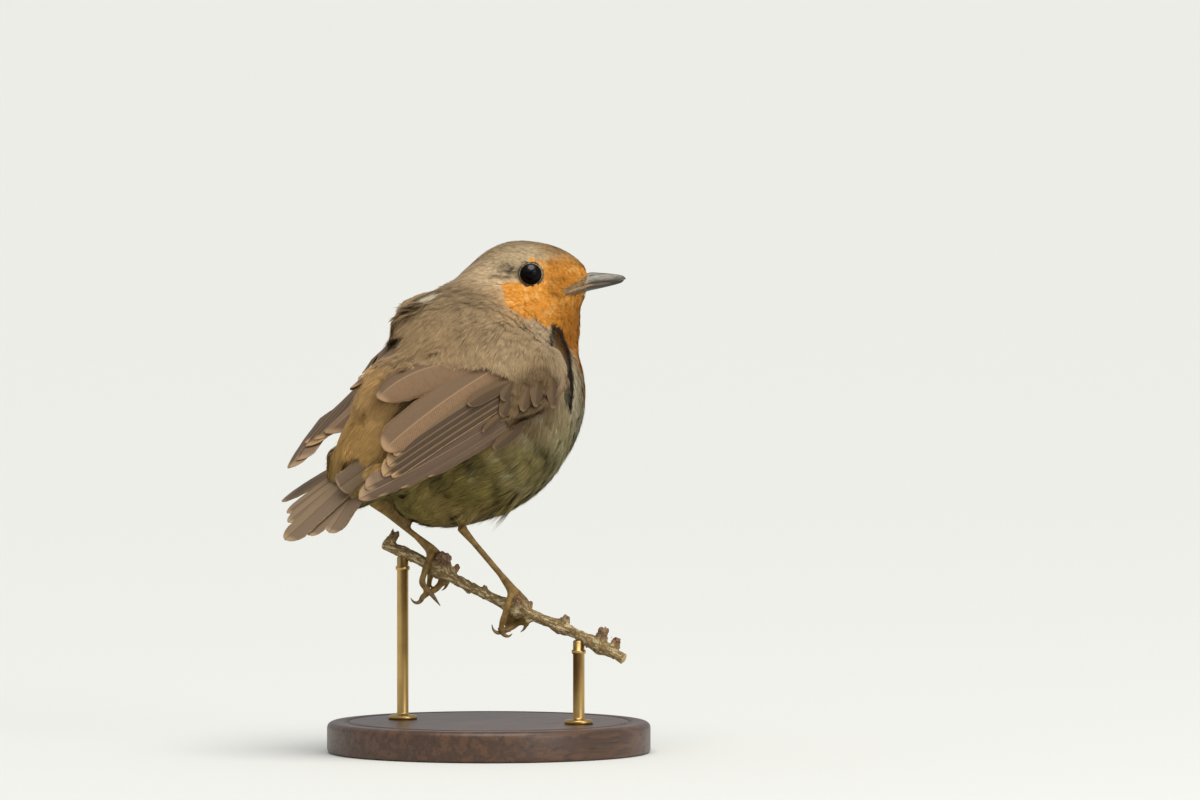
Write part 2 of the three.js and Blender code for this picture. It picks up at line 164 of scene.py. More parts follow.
class Finish:
    """A node material as it is put together."""

    def __init__(self, name, roughness=0.6, **constants):
        self.material = bpy.data.materials.new(name)
        self.material.use_nodes = True
        self.tree = self.material.node_tree
        self.shader = self.tree.nodes["Principled BSDF"]
        self.set(Roughness=roughness, **{key.replace("_", " "): value for key, value in constants.items()})

    def feed(self, socket, value):
        if isinstance(value, Wire):
            self.tree.links.new(value.socket, socket)
        else:
            socket.default_value = value

    def node(self, kind, settings=None, inputs=None, output=0):
        made = self.tree.nodes.new(kind)
        settings = dict(settings or {})
        for place, colour in settings.pop("stops", []):
            ramp = made.color_ramp.elements
            stop = ramp[0] if place == 0 else ramp[1] if place == 1 else ramp.new(place)
            stop.color = (*colour, 1)
        for name, value in settings.items():
            setattr(made, name, value)
        for name, value in (inputs or {}).items():
            self.feed(made.inputs[name], value)
        return Wire(self, made.outputs[output])

    def set(self, **inputs):
        for name, value in inputs.items():
            self.feed(self.shader.inputs[name], value)

    def colour(self, value):
        self.set(**{"Base Color": value})

    def place(self):
        return self.node("ShaderNodeTexCoord", output="Object")

    def parts(self, vector):
        split = self.node("ShaderNodeSeparateXYZ", inputs={0: vector})
        outputs = split.socket.node.outputs
        return [Wire(self, outputs[i]) for i in range(3)]

    def attribute(self, name, output="Fac"):
        return self.node("ShaderNodeAttribute", {"attribute_name": name}, output=output)

    def noise(self, vector, scale, detail=3.0, roughness=0.5):
        inputs = {"Vector": vector, "Scale": scale, "Detail": detail, "Roughness": roughness}
        return self.node("ShaderNodeTexNoise", inputs=inputs)

    def stretched(self, vector, scale):
        """The same place with its three ways drawn out by the given numbers."""
        return self.node("ShaderNodeVectorMath", {"operation": "MULTIPLY"}, {0: vector, 1: scale})

    def mix(self, share, first, second, blend="MIX"):
        made = self.tree.nodes.new("ShaderNodeMix")
        made.data_type, made.blend_type = "RGBA", blend
        values = [share, first, second]
        for slot, value in zip((0, 6, 7), values):
            if not isinstance(value, Wire) and slot:
                value = (*value, 1)
            self.feed(made.inputs[slot], value)
        return Wire(self, made.outputs[2])

    def bump(self, height, depth, strength=1.0):
        """Raises the surface by height, 0 to 1, times depth in millimetres."""
        inputs = {"Height": height, "Distance": depth * MM, "Strength": strength}
        self.set(Normal=self.node("ShaderNodeBump", inputs=inputs))


# ---------- pieces ----------
def add(name, mesh, finish, replaces=()):
    """Puts a finished mesh, in metres, into the model."""
    made = bpy.data.objects.new(name, mesh)
    bpy.context.scene.collection.objects.link(made)
    mesh.materials.clear()
    mesh.materials.append(finish.material)
    mesh.shade_smooth()
    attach(made, "root")
    if replaces:
        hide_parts(*replaces)
    return made


def as_mesh(name, bm):
    """A bmesh in millimetres as a mesh in metres."""
    bmesh.ops.scale(bm, vec=(MM, MM, MM), verts=bm.verts)
    mesh = bpy.data.meshes.new(name)
    bm.to_mesh(mesh)
    bm.free()
    return mesh


def copy_of(*nodes):
    """The solids of the named nodes as one welded bmesh, in millimetres."""
    bm = bmesh.new()
    for node in nodes:
        bm.from_mesh(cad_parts[node].data)
    bmesh.ops.scale(bm, vec=(1 / MM,) * 3, verts=bm.verts)
    bmesh.ops.remove_doubles(bm, verts=bm.verts, dist=0.002)
    bmesh.ops.recalc_face_normals(bm, faces=bm.faces)
    return bm


def swollen(bm, amount):
    """Each vertex moved out along its normal."""
    bm.normal_update()
    for vert in bm.verts:
        vert.co += vert.normal * amount
    return bm


def melted(bm, voxel):
    """One even closed surface round all that a bmesh holds, as a mesh in the bmesh's units."""
    mesh = bpy.data.meshes.new("melting")
    bm.to_mesh(mesh)
    bm.free()
    block = bpy.data.objects.new("melting", mesh)
    bpy.context.scene.collection.objects.link(block)
    modifier = block.modifiers.new("melt", "REMESH")
    modifier.mode = "VOXEL"
    modifier.voxel_size = voxel
    settled = bpy.data.meshes.new_from_object(block.evaluated_get(bpy.context.evaluated_depsgraph_get()))
    bpy.data.objects.remove(block)
    bpy.data.meshes.remove(mesh)
    return settled


class Surface:
    """A closed surface of quads as arrays, in millimetres."""

    def __init__(self, mesh):
        self.mesh = mesh
        self.points = np.empty(len(mesh.vertices) * 3, np.float32)
        mesh.vertices.foreach_get("co", self.points)
        self.points = self.points.reshape(-1, 3).astype(float)
        self.quads = np.empty(len(mesh.loops), np.int32)
        mesh.loops.foreach_get("vertex_index", self.quads)
        self.quads = self.quads.reshape(-1, 4)
        self.edges = np.empty(len(mesh.edges) * 2, np.int32)
        mesh.edges.foreach_get("vertices", self.edges)
        self.edges = self.edges.reshape(-1, 2)
        ends = self.edges.ravel()
        self.neighbours = np.maximum(np.bincount(ends, minlength=len(self.points)), 1)

    def around(self, values):
        """Each vertex's mean of its neighbours' values."""
        a, b = self.edges.T
        count = len(self.points)
        sums = [
            np.bincount(a, column[b], count) + np.bincount(b, column[a], count)
            for column in values.reshape(count, -1).T
        ]
        return (np.array(sums) / self.neighbours).T.reshape(values.shape)

    def smooth(self, times, share=1.0):
        """Relaxes the vertices, all of them or by a share each."""
        share = np.broadcast_to(np.asarray(share, float), len(self.points))[:, None]
        for _ in range(times):
            self.points += (self.around(self.points) - self.points) * share

    def face_normals(self):
        a, b, c, d = (self.points[self.quads[:, i]] for i in range(4))
        return np.cross(c - a, d - b)

    def normals(self):
        wide = self.face_normals()
        total = np.zeros_like(self.points)
        for corner in self.quads.T:
            for axis in range(3):
                total[:, axis] += np.bincount(corner, wide[:, axis], len(self.points))
        return unit(total)

    def write(self):
        """Puts the moved vertices back into the mesh, in metres."""
        self.mesh.vertices.foreach_set("co", (self.points * MM).astype(np.float32).ravel())
        self.mesh.update()
        return self.mesh


def grain(points, size, seed=0):
    """Smooth noise from 0 to 1 at each point, with lumps of about the given size."""
    scaled = np.asarray(points, float) / size + 100 + 17 * seed
    cell = np.floor(scaled).astype(np.int64)
    share = scaled - cell
    share = share * share * (3 - 2 * share)
    total = np.zeros(len(scaled))
    for corner in np.ndindex(2, 2, 2):
        x, y, z = (cell + corner).T
        mixed = (x * 73856093) ^ (y * 19349663) ^ (z * 83492791) ^ (seed * 2654435761)
        mixed = ((mixed ^ (mixed >> 13)) * 1274126177) & 0xFFFFFFFF
        weight = np.prod(np.where(np.array(corner) == 1, share, 1 - share), axis=1)
        total += weight * ((mixed ^ (mixed >> 16)) & 0xFFFF) / 0xFFFF
    return total


def ease(values, low, high):
    share = np.clip((np.asarray(values, float) - low) / (high - low), 0, 1)
    return share * share * (3 - 2 * share)


# ---------- the lie and colours of the plumage ----------
BACKWARD_DOWN = (-0.75, 0, -0.66)
FLANK_TURN = turned("Y", 38)  # brings the way that the flank's feathers lie level

# Places on the bird. Each row: where (in its own axes, the side ones on both sides), the way the feathers
# lie in the trunk's axes, the coat's depth, a feather's length and half width, how far apart they grow, how
# hairy they are (0 a closed vane, 1 loose hair), and the colour.
HEAD_COAT = {
    "forehead": ((14, 0, 6.5), 0.3, 2.4, 0.8, 0.5, 0.6, (176, 132, 74)),
    "front crown": ((8, 0, 9.5), 0.35, 3.2, 1.0, 0.58, 0.55, (160, 130, 90)),
    "crown": ((0, 0, 11.5), 0.45, 4.2, 1.2, 0.66, 0.55, (166, 143, 110)),
    "rear crown": ((-9, 0, 8.5), 0.6, 5.0, 1.4, 0.74, 0.6, (164, 141, 108)),
    "lores": ((12, 5, 2), 0.28, 2.0, 0.6, 0.46, 0.7, (206, 140, 58)),
    "brow": ((0, 8.5, 7), 0.35, 3.2, 0.9, 0.56, 0.6, (184, 162, 126)),
    "ear": ((-7, 9, 0.5), 0.5, 4.6, 1.2, 0.68, 0.7, (204, 178, 140)),
    "cheek": ((3, 9.5, -5), 0.42, 3.8, 1.0, 0.6, 0.8, (222, 160, 72)),
    "chin": ((13, 0, -5), 0.38, 2.8, 0.8, 0.52, 0.8, (206, 142, 58)),
    "throat": ((11, 0, -11), 0.7, 4.2, 1.1, 0.68, 0.8, (206, 142, 58)),
    "lower cheek": ((0, 9, -11), 0.65, 4.6, 1.2, 0.72, 0.8, (204, 142, 60)),
    "nape": ((-13, 0, 0), 0.9, 6.0, 1.7, 0.86, 0.65, (182, 158, 127)),
}
# The belly, vent, flank and flank rear colours are darker and more olive than the feathers themselves:
# painted shade and a painted greenish reflection on the underside.
TRUNK_COAT = {
    "neck side": ((6, 15, 27), BACKWARD_DOWN, 1.4, 6.5, 1.8, 0.88, 0.7, (174, 152, 121)),
    "breast top": ((21, 0, 20), BACKWARD_DOWN, 1.4, 6.0, 1.7, 0.9, 0.7, (200, 132, 52)),
    "breast": ((28, 0, 4), BACKWARD_DOWN, 1.8, 7.5, 2.0, 0.98, 0.75, (194, 126, 50)),
    "belly front": ((24, 0, -14), BACKWARD_DOWN, 1.9, 8.5, 2.0, 1.02, 0.85, (158, 150, 106)),
    "belly": ((4, 0, -27), BACKWARD_DOWN, 2.0, 9.5, 2.1, 1.05, 0.9, (122, 110, 54)),
    "vent": ((-20, 0, -27), BACKWARD_DOWN, 1.8, 9.0, 2.1, 1.05, 0.9, (116, 102, 50)),
    "undertail": ((-38, 0, -22), (-0.9, 0, -0.45), 1.4, 9.0, 2.0, 1.05, 0.8, (132, 118, 72)),
    "mantle": ((-14, 0, 31), BACKWARD_DOWN, 1.7, 9.0, 2.3, 1.0, 0.7, (158, 134, 100)),
    "back": ((-30, 0, 18), BACKWARD_DOWN, 1.7, 9.5, 2.3, 1.0, 0.8, (158, 132, 96)),
    "rump": ((-42, 0, 4), (-0.72, 0, -0.7), 1.6, 9.5, 2.0, 0.98, 0.95, (174, 138, 88)),
    "uppertail": ((-48, 0, -6), (-0.7, 0, -0.72), 1.2, 8.5, 1.9, 0.98, 0.9, (166, 130, 76)),
    "shoulder": ((6, 23, 19), (-0.45, 0.15, -0.85), 1.3, 8.5, 2.0, 0.94, 0.8, (162, 139, 108)),
    "scapular": ((-12, 21, 22), (-0.62, 0.25, -0.8), 1.4, 9.5, 2.0, 0.98, 0.85, (160, 136, 102)),
    "coverts": ((-8, 26, 12), (-0.6, 0.1, -0.8), 1.1, 7.0, 1.7, 0.92, 0.7, (106, 85, 58)),
    "far back": ((-34, 14, 9), (-0.8, 0, -0.6), 1.4, 9.0, 2.0, 0.98, 0.9, (150, 126, 94)),
    "breast side": ((18, 19, 6), BACKWARD_DOWN, 1.7, 7.0, 1.9, 0.96, 0.8, (162, 152, 122)),
    "flank front": ((12, 22, -8), (-0.7, 0, -0.75), 1.9, 9.0, 1.9, 1.04, 0.95, (150, 140, 100)),
    "flank": ((-4, 22, -14), (-0.8, 0, -0.6), 2.0, 10.5, 2.0, 1.08, 1.0, (126, 114, 70)),
    "flank rear": ((-20, 15, -18), (-0.85, 0, -0.5), 1.8, 10.0, 2.0, 1.08, 1.0, (104, 92, 46)),
    "thigh": ((-16, 10, -21), (-0.5, 0, -0.85), 0.8, 4.2, 1.0, 0.76, 0.8, (132, 112, 66)),
}


def coat_places():
    """All places on both sides as arrays: where, the lie, and the other numbers with the colour last."""
    rows = []
    for place, table in ((HEAD, HEAD_COAT), (TRUNK, TRUNK_COAT)):
        for where, *rest in table.values():
            *numbers, colour = rest
            lie = numbers.pop(0) if place is TRUNK else (0, 0, 0)
            for side in (1, -1) if where[1] else (1,):
                mirror = np.array((1, side, 1))
                spot = place.out(np.array(where) * mirror)
                rows.append((*spot, *(TRUNK.turn @ (np.array(lie) * mirror)), *numbers, *tint(*colour)))
    return np.array(rows)


PLACES = coat_places()
LIE = [3, 4, 5]
DEPTH, LENGTH, HALF_WIDTH, SPACING, HAIR = range(6, 11)
COLOUR = [11, 12, 13]


def blended(points, columns):
    """The places' numbers at each point, smoothly between the nearest places."""
    made = np.empty((len(points), len(columns)))
    step = 20000
    for start in range(0, len(points), step):
        near = points[start : start + step, None, :] - PLACES[None, :, :3]
        weight = 1 / (np.einsum("ijk,ijk->ij", near, near) + 4) ** 2.5
        made[start : start + step] = (weight @ PLACES[:, columns]) / weight.sum(1)[:, None]
    return made


def across(vectors, normals):
    """Vectors laid into the surface whose normals are given, each one unit long."""
    return unit(vectors - np.sum(vectors * normals, axis=1, keepdims=True) * normals)


BILL_TIP = HEAD.out((22, 0, 1))


def eye_gaps(points):
    """How far each point lies from the eye on its side, as seen from that side, and the way there from it."""
    from_eye = (HEAD.into(points) - (EYE_FORWARD, 0, EYE_UP))
    beside = np.abs(from_eye[:, 1]) > 3
    flat = from_eye * (1, 0, 1)
    return np.where(beside, np.linalg.norm(flat, axis=1), 99.0), unit(flat) @ HEAD.turn.T


def lie(points, normals):
    """The way the feathers lie: away from the bill's tip on the head, and backwards and down behind it."""
    body = blended(points, LIE)
    strength = np.linalg.norm(body, axis=1, keepdims=True)
    radial = unit(points - BILL_TIP)
    headness = ease(TRUNK.into(points)[:, 2], 21, 30)[:, None] * np.clip(1 - strength, 0, 1)
    headness = np.maximum(headness, np.clip(1 - 1.3 * strength, 0, 1))
    way = across(unit(body) * (1 - headness) + radial * headness + 1e-6, normals)
    gap, from_eye = eye_gaps(points)
    from_eye = across(from_eye + 1e-6, normals)
    toward = np.minimum(0, np.sum(way * from_eye, axis=1, keepdims=True))
    return unit(way - from_eye * (toward - 0.12) * (1 - ease(gap, 3.6, 6.5))[:, None])


def outside_of(outline, points):
    """How far each point lies outside a closed outline, below 0 within it."""
    outline = np.asarray(outline, float)
    nearest = np.full(len(points), 1e9)
    inside = np.zeros(len(points), bool)
    for start, end in zip(outline, np.roll(outline, -1, axis=0)):
        way = end - start
        share = np.clip((points - start) @ way / (way @ way), 0, 1)
        nearest = np.minimum(nearest, np.linalg.norm(points - start - share[:, None] * way, axis=1))
        crosses = (start[1] > points[:, 1]) != (end[1] > points[:, 1])
        with np.errstate(divide="ignore", invalid="ignore"):
            at = start[0] + way[0] * (points[:, 1] - start[1]) / way[1]
        inside ^= crosses & (points[:, 0] < at)
    return np.where(inside, -nearest, nearest)


# The edge of the orange face, seen from the side: forward and up from the head's middle.
ORANGE_FACE = [
    (22, 4.2), (16.5, 5.4), (12, 6.3), (7, 6.5), (1.5, 7.0), (0.4, 5.6), (-0.6, 1.2), (-6.0, 1.0),
    (-6.8, -2.3), (-5.8, -4.4), (-0.7, -7.8), (4.6, -9.9), (8.3, -12), (10.5, -15), (12, -19),
    (30, -19), (30, 4),
]
# The edge of the bill and of its gape, where no feathers grow, seen the same way.
BILL_EDGE = [
    (17.4, 3.5), (15.4, 1.7), (12.9, 0.2), (10.9, -0.8), (10.5, -1.6), (11, -2.4), (13, -2.5), (17.3, -1.6),
    (19, -1.5), (32, -1.5), (32, 5), (17.5, 5),
]
# The edge of the orange breast seen from its front: sideways and up from the trunk's middle.
ORANGE_BREAST = [
    (-17, 32), (-17.5, 18), (-17, 8), (-12, 0), (-6, -4), (6, -4), (12, 0), (17, 8), (17.5, 18), (17, 32),
]
ORANGE = tint(218, 146, 56)
ORANGE_DEEP = tint(140, 82, 16)
ORANGE_PALE = tint(238, 186, 108)
EYE_STREAK = tint(56, 47, 38)
GAPE_SHADE = tint(104, 72, 26)
WHITE_TUFT = tint(238, 230, 204)
WHITE_SPOT = (-17, 9.4, 30.5)  # where the white tuft on the back is, from the trunk's middle
PALE_RING = tint(190, 170, 138)
SLIT_SHADE = tint(40, 32, 26)
PALE_FRINGE = tint(184, 172, 142)
ORANGE_BROWN = tint(150, 98, 44)
PALE_LOCK = tint(196, 186, 148)


def furrow_gap(points, side):
    """How far each point lies behind the furrow along a folded wing's front edge, below 0 before it."""
    along, up, _ = wing_place(points, side)
    return along + 2.4 + 0.45 * up


# The slit before the right wing, down from its top in the trunk's measures, with how wide it is each way.
SLIT = [
    ((12.4, -12.8, 25.0), 1.2), ((10.4, -16.2, 21.4), 2.0), ((9.2, -19.2, 17.5), 1.7),
    ((9.0, -21.6, 13.4), 1.2), ((8.8, -22.8, 9.8), 0.8), ((8.4, -23.6, 6.0), 0.3),
]
SLIT_OUT = unit((0.55, -0.8, 0.2))  # out of the slit: depth counts for little


def slit_gaps(points):
    """How far each point is from the slit before either wing: as a share of the slit's width, in
    millimetres, and ahead of it."""
    trunk = TRUNK.into(points)
    trunk[:, 1] = -np.abs(trunk[:, 1])
    share, gap, ahead = (np.full(len(trunk), 99.0) for _ in range(3))
    for (start, wide), (end, narrow) in zip(SLIT, SLIT[1:]):
        start, way = np.array(start), np.subtract(end, start)
        t = np.clip((trunk - start) @ way / (way @ way), 0, 1)
        off = trunk - start - t[:, None] * way
        off -= 0.85 * (off @ SLIT_OUT)[:, None] * SLIT_OUT
        this = np.linalg.norm(off, axis=1)
        nearer = this < gap
        gap = np.where(nearer, this, gap)
        share = np.where(nearer, this / (wide + (narrow - wide) * t), share)
        ahead = np.where(nearer, off[:, 0], ahead)
    return share, gap, ahead


def slit_shade_and_fringe(points):
    """How much painted shade lies in the slits before the wings at each point, and how pale the fringes
    before those.
    """
    share, gap, ahead = slit_gaps(points)
    pale = ease(ahead, 0.2, 1.0) * (1 - ease(gap, 2.2, 4.2)) * ease(share, 0.9, 1.3)
    return 1 - ease(np.where(ahead < 0, 0.72, 1.0) * share, 1.15, 1.75), pale * 0.85


# Partings in the right flank's loose feathers, darkened with painted shade, and pale locks: where, and how
# wide.
SHADED_PARTINGS = [
    ((-1.1, -24.6, -5.9), 2.6), ((-21.6, -15.2, -7.9), 2.8), ((-24.7, -9.5, -14.1), 2.4),
    ((-13, -22, -8), 1.6),
]
PALE_LOCKS = [
    ((-1.5, -24.7, 1.5), 2.8), ((-17, -19.9, -5), 1.0), ((-19.9, -16.5, -11.6), 0.9),
    ((-6.4, -20.6, -14.8), 1.4), ((-9, -24, -1), 1.5), ((4, -24, -3), 1.8), ((-12, -21, -11), 0.9),
]


def drawn_spots(trunk, rows):
    """How strongly each point belongs to any of the spots, each drawn out along the flank's feathers."""
    made = np.zeros(len(trunk))
    for spot, size in rows:
        off = (trunk - spot) @ FLANK_TURN * (0.35, 1, 1)
        made = np.maximum(made, np.exp(-np.sum(off**2, axis=1) / size**2))
    return made


def orange_shares(points, head, trunk):
    """How much of the orange face or breast is at each point, with a ragged edge."""
    wander = (grain(points, 1.1, 3) - 0.5) * 1.6
    face = 1 - ease(outside_of(ORANGE_FACE, head[:, [0, 2]]) + wander, -0.35, 0.35)
    face *= ease(head[:, 0] + 0.3 * head[:, 2], -7, -5.5) * ease(trunk[:, 2], 19, 22)
    breast = 1 - ease(outside_of(ORANGE_BREAST, trunk[:, 1:]) + wander, -0.5, 0.5)
    breast *= ease(trunk[:, 0], 6, 9) * (1 - ease(trunk[:, 2], 24, 27))
    ahead_of_wing = np.min([furrow_gap(points, side) for side in SIDES.values()], axis=0)
    strip = (1 - ease(ahead_of_wing + wander, -7.4, -6.6)) * ease(trunk[:, 0], 12, 14)
    strip *= ease(trunk[:, 2], 2, 5) * (1 - ease(trunk[:, 2], 24, 27))
    breast = np.maximum(breast * (1 - ease(ahead_of_wing, -7.4, -6.6)), strip)
    return np.maximum(face, breast)[:, None]


def orange_colour(points, head):
    """The orange, paler in spots, deeper on the lores, and deeper towards the chin and throat: partly their
    own deeper orange, partly painted shade under the head.
    """
    warm = ORANGE + (ORANGE_PALE - ORANGE) * ease(grain(points, 1.6, 5), 0.5, 0.9)[:, None] * 0.6
    # Deeper towards the front and underside of the head: partly the throat's own colour, partly painted
    # shade.
    warm += (ORANGE_DEEP - warm) * (ease(head[:, 0], 4, 12) * ease(-head[:, 2], -2, 9) * 0.75)[:, None]
    lores = np.exp(-(((head[:, 0] - 9.5) / 4.5) ** 2) - ((head[:, 2] - 1.5) / 3) ** 2)
    return warm + (ORANGE_DEEP - warm) * lores[:, None] * 0.6


def mark_head(colour, head, orange):
    """Puts on the streak and line behind the eye, the shade by the gape and the browner forehead."""
    ahead, beside, up = head[:, 0], np.abs(head[:, 1]) > 4, head[:, 2]
    streak = np.exp(-(((ahead + 4.3) / 3.6) ** 2) - ((up - 4.4 + 0.12 * (ahead + 4.9)) / 1.8) ** 2)
    line = np.exp(-(((up - 2.5) / 0.6) ** 2)) * ease(ahead, -11, -8) * (1 - ease(ahead, -2, -1))
    spots = ease(grain(head @ turned("Y", -35) * (0.5, 1, 1.3), 0.8, 8), 0.38, 0.62)
    dark = np.maximum(streak, 0.8 * line) * beside * (0.62 + 0.38 * spots)
    colour += (EYE_STREAK - colour) * dark[:, None]
    gape = np.exp(-(((ahead - 7.8) / 1.6) ** 2) - ((up + 2.2 + 0.4 * (ahead - 7.8)) / 0.8) ** 2)
    colour += (GAPE_SHADE - colour) * (gape * beside)[:, None] * 0.75
    top = (ease(up, 3.5, 7) * ease(ahead, 2, 7))[:, None] * orange
    colour += (ORANGE_BROWN - colour) * top * 0.75


def mark_body(colour, trunk):
    """Puts on the white tuft, the painted shade in the flank's partings, and the pale locks."""
    tuft = np.linalg.norm(trunk - WHITE_SPOT, axis=1)
    colour += (WHITE_TUFT - colour) * (1 - ease(tuft, 1.8, 3.2))[:, None] * 0.75
    fine = ease(grain(trunk @ FLANK_TURN * (0.25, 1, 1), 0.6, 9), 0.3, 0.7)
    # Painted shade in the partings between the flank's loose feathers.
    colour *= 1 - (0.8 * drawn_spots(trunk, SHADED_PARTINGS) * (0.55 + 0.45 * fine))[:, None]
    colour += (PALE_LOCK - colour) * (0.5 * drawn_spots(trunk, PALE_LOCKS) * fine)[:, None]


def plumage(points):
    """The colour of the feathers at each point."""
    colour = blended(points, COLOUR)
    head, trunk = HEAD.into(points), TRUNK.into(points)
    orange = orange_shares(points, head, trunk)
    colour += (orange_colour(points, head) - colour) * orange
    mark_head(colour, head, orange)
    mark_body(colour, trunk)
    dark, pale = slit_shade_and_fringe(points)
    colour += (PALE_FRINGE - colour) * (pale * (1 - orange[:, 0]))[:, None]
    # Painted shade in the slits before the wings.
    colour += (SLIT_SHADE - colour) * dark[:, None]
    for side in SIDES.values():
        from_eye = np.linalg.norm(head - (EYE_FORWARD, side * 9, EYE_UP), axis=1)
        ring = np.exp(-(((from_eye - 3.2) / 0.45) ** 2))
        colour += (PALE_RING - colour) * ring[:, None] * 0.5
    return colour


# ---------- the sheets that the folded wings and the tail lie on ----------
WRIST = np.array((4, -24, 17.7))
WING_BACK = unit((-0.86, 0.1665, -0.4815))
WING_UP = unit((-0.251, 0.68, 0.688))
WING_OUT = unit(np.cross(WING_UP, WING_BACK))
TAIL_ROOT = TRUNK.centre + (-37.8, 0, -8.4)
TAIL_TURN = turned("X", 22) @ turned("Y", -43)


def wing_sheet(side):
    """Places on a folded wing: along it from the wrist, across it upwards, and off it."""

    def place(along, up, off):
        bend = np.where(along < 22, 0.0065, 0.0012)
        crown = 2.2 - 0.007 * (up - 8) ** 2 - bend * (along - 22) ** 2
        spot = WRIST + WING_BACK * along + WING_UP * up + WING_OUT * (crown + off)
        return TRUNK.out(spot * (1, -side, 1))

    return place


def cushion(along, up):
    """How far the small coverts and shoulder feathers stand off the wing's sheet."""
    reach = ((along - 17) / 20) ** 2 + ((up - 8 - 0.12 * (along - 17)) / 14.5) ** 2
    return 0.6 + 3.6 * math.sqrt(max(0.0, 1 - reach))


def over_cushion(side):
    sheet = wing_sheet(side)
    return lambda along, up, off: sheet(along, up, max(cushion(along, up), 1.2) + off)


def tail_sheet(along, up, off):
    """Places on the tail: along it from its root, across it to the bird's left, and off it."""
    return TAIL_TURN @ (-along, up, off - 0.02 * up**2) + TAIL_ROOT


RUMP_ROOT, RUMP_TIP = np.array((-46.0, -7.5, -8.0)), np.array((-50.4, -0.9, -15.6))
RUMP_ALONG = unit(RUMP_TIP - RUMP_ROOT)
RUMP_OUT = across(np.array([(-0.8, -0.6, 0.05)]), RUMP_ALONG[None])[0]
RUMP_ACROSS = np.cross(RUMP_OUT, RUMP_ALONG)


def rump_sheet(along, up, off):
    """Where one short feather lies over the end of the rump, above the tail."""
    return TRUNK.out(RUMP_ROOT + RUMP_ALONG * along + RUMP_ACROSS * up + RUMP_OUT * (off - 0.03 * up**2))


# ---------- single feathers ----------
ROWS, COLUMNS = 26, 10


def vane(bm, sheet, root, bend, tip, webs, off, seed, blunt=0.72, camber=0.5, lift=0.0):
    """One feather on a sheet. Its shaft runs from root past bend to tip, each (along, across); webs are how
    wide its two sides are, the upper first; off is how far it lies off the sheet, and lift raises its tip."""
    shape = bm.verts.layers.float_vector["vane"]
    grid = bmesh.ops.create_grid(bm, x_segments=COLUMNS, y_segments=ROWS, size=0.5)["verts"]
    root, bend, tip = (np.array(point, float) for point in (root, bend, tip))
    chance = np.random.default_rng(seed)
    phase, tone = chance.uniform(0, 50), chance.uniform()
    for vert in grid:
        u, t = 2 * vert.co.x, 1 - (0.5 - vert.co.y) ** 1.5
        u = math.copysign(abs(u) ** 0.85, u)
        web = webs[0] if u > 0 else webs[1]
        rounding = max(0.0, (t - blunt) / (1 - blunt))
        width = math.sqrt(max(0.0, 1 - rounding**2.2)) * (0.35 + 0.65 * min(1, t / 0.25)) + 0.03
        frayed = 1 - 0.03 * (1 + math.sin(phase + 40 * t) * math.sin(2 * phase + 97 * t)) * abs(u) ** 6
        t_at = t - 0.016 * abs(u) * width
        point = (1 - t_at) ** 2 * root + 2 * t_at * (1 - t_at) * bend + t_at**2 * tip
        way = unit(2 * (1 - t_at) * (bend - root) + 2 * t_at * (tip - bend))
        point = point + np.array((-way[1], way[0])) * u * web * width * frayed
        ridge = 0.14 * math.exp(-((u / 0.07) ** 2)) * (1 - 0.6 * t)
        curve = -camber * abs(u) ** 2.2 * width
        vert[shape] = (u, t, tone)
        vert.co = Vector(sheet(point[0], point[1], off + curve + ridge + lift * t**2))


def feather_piece(name, feathers, finish, replaces=()):
    """Feathers, each a dict of what vane takes, as one piece of thin sheets."""
    bm = bmesh.new()
    bm.verts.layers.float_vector.new("vane")
    for number, feather in enumerate(feathers):
        vane(bm, seed=number + len(name), **feather)
    made = add(name, as_mesh(name, bm), finish, replaces)
    thickness = made.modifiers.new("thickness", "SOLIDIFY")
    thickness.thickness = 0.16 * MM
    thickness.offset = -1
    return made


def feather_finish(name, web, inner, fringe, shaft, fringe_from=0.8):
    """A closed vane: the outer and inner web's colours, a paler fringe, a shaft and fine slanting barbs."""
    finish = Finish(name, 0.62, Specular_IOR_Level=0.3)
    across_it, along_it, tone = finish.parts(finish.attribute("vane", "Vector"))
    side = across_it.size()
    barbs = ((along_it * 150 - side * 9) * FULL_TURN / 2).wave() * 0.5 + 0.5
    uneven = finish.noise(finish.stretched(finish.attribute("vane", "Vector"), (3, 26, 40)), 1.6, 4)
    base = finish.mix(across_it.ease(-0.15, 0.15), inner, web)
    base = finish.mix((uneven - 0.35).ease(0, 0.5) * 0.35, base, tuple(0.72 * np.array(web)))
    edge = (side + (uneven - 0.5) * 0.25).ease(fringe_from, fringe_from + 0.16)
    edge = edge + along_it.ease(0.93, 0.985) * (1 - edge)
    base = finish.mix(edge * 0.85, base, fringe)
    base = finish.mix(1 - side.ease(0.025, 0.06), base, shaft)
    shade = 0.86 + tone * 0.24 + barbs * 0.035
    brightness = finish.node("ShaderNodeCombineColor", inputs={0: shade, 1: shade, 2: shade})
    finish.colour(finish.mix(1.0, base, brightness, "MULTIPLY"))
    finish.bump(barbs, 0.05, 0.6)
    return finish


PRIMARY_FINISH = feather_finish(
    "primary vane", tint(124, 100, 76), tint(92, 72, 54), tint(162, 132, 98), tint(80, 58, 42), 0.84
)
SECONDARY_FINISH = feather_finish(
    "secondary vane", tint(108, 84, 56), tint(70, 54, 36), tint(176, 140, 98), tint(60, 45, 32), 0.7
)
TERTIAL_FINISH = feather_finish(
    "tertial vane", tint(102, 78, 54), tint(122, 94, 66), tint(156, 124, 90), tint(136, 108, 78), 0.9
)
COVERT_FINISH = feather_finish(
    "covert vane", tint(96, 74, 48), tint(80, 61, 40), tint(122, 98, 68), tint(78, 60, 40), 0.8
)
TAIL_FINISH = feather_finish(
    "tail vane", tint(130, 108, 82), tint(110, 90, 68), tint(160, 134, 104), tint(96, 76, 56), 0.88
)


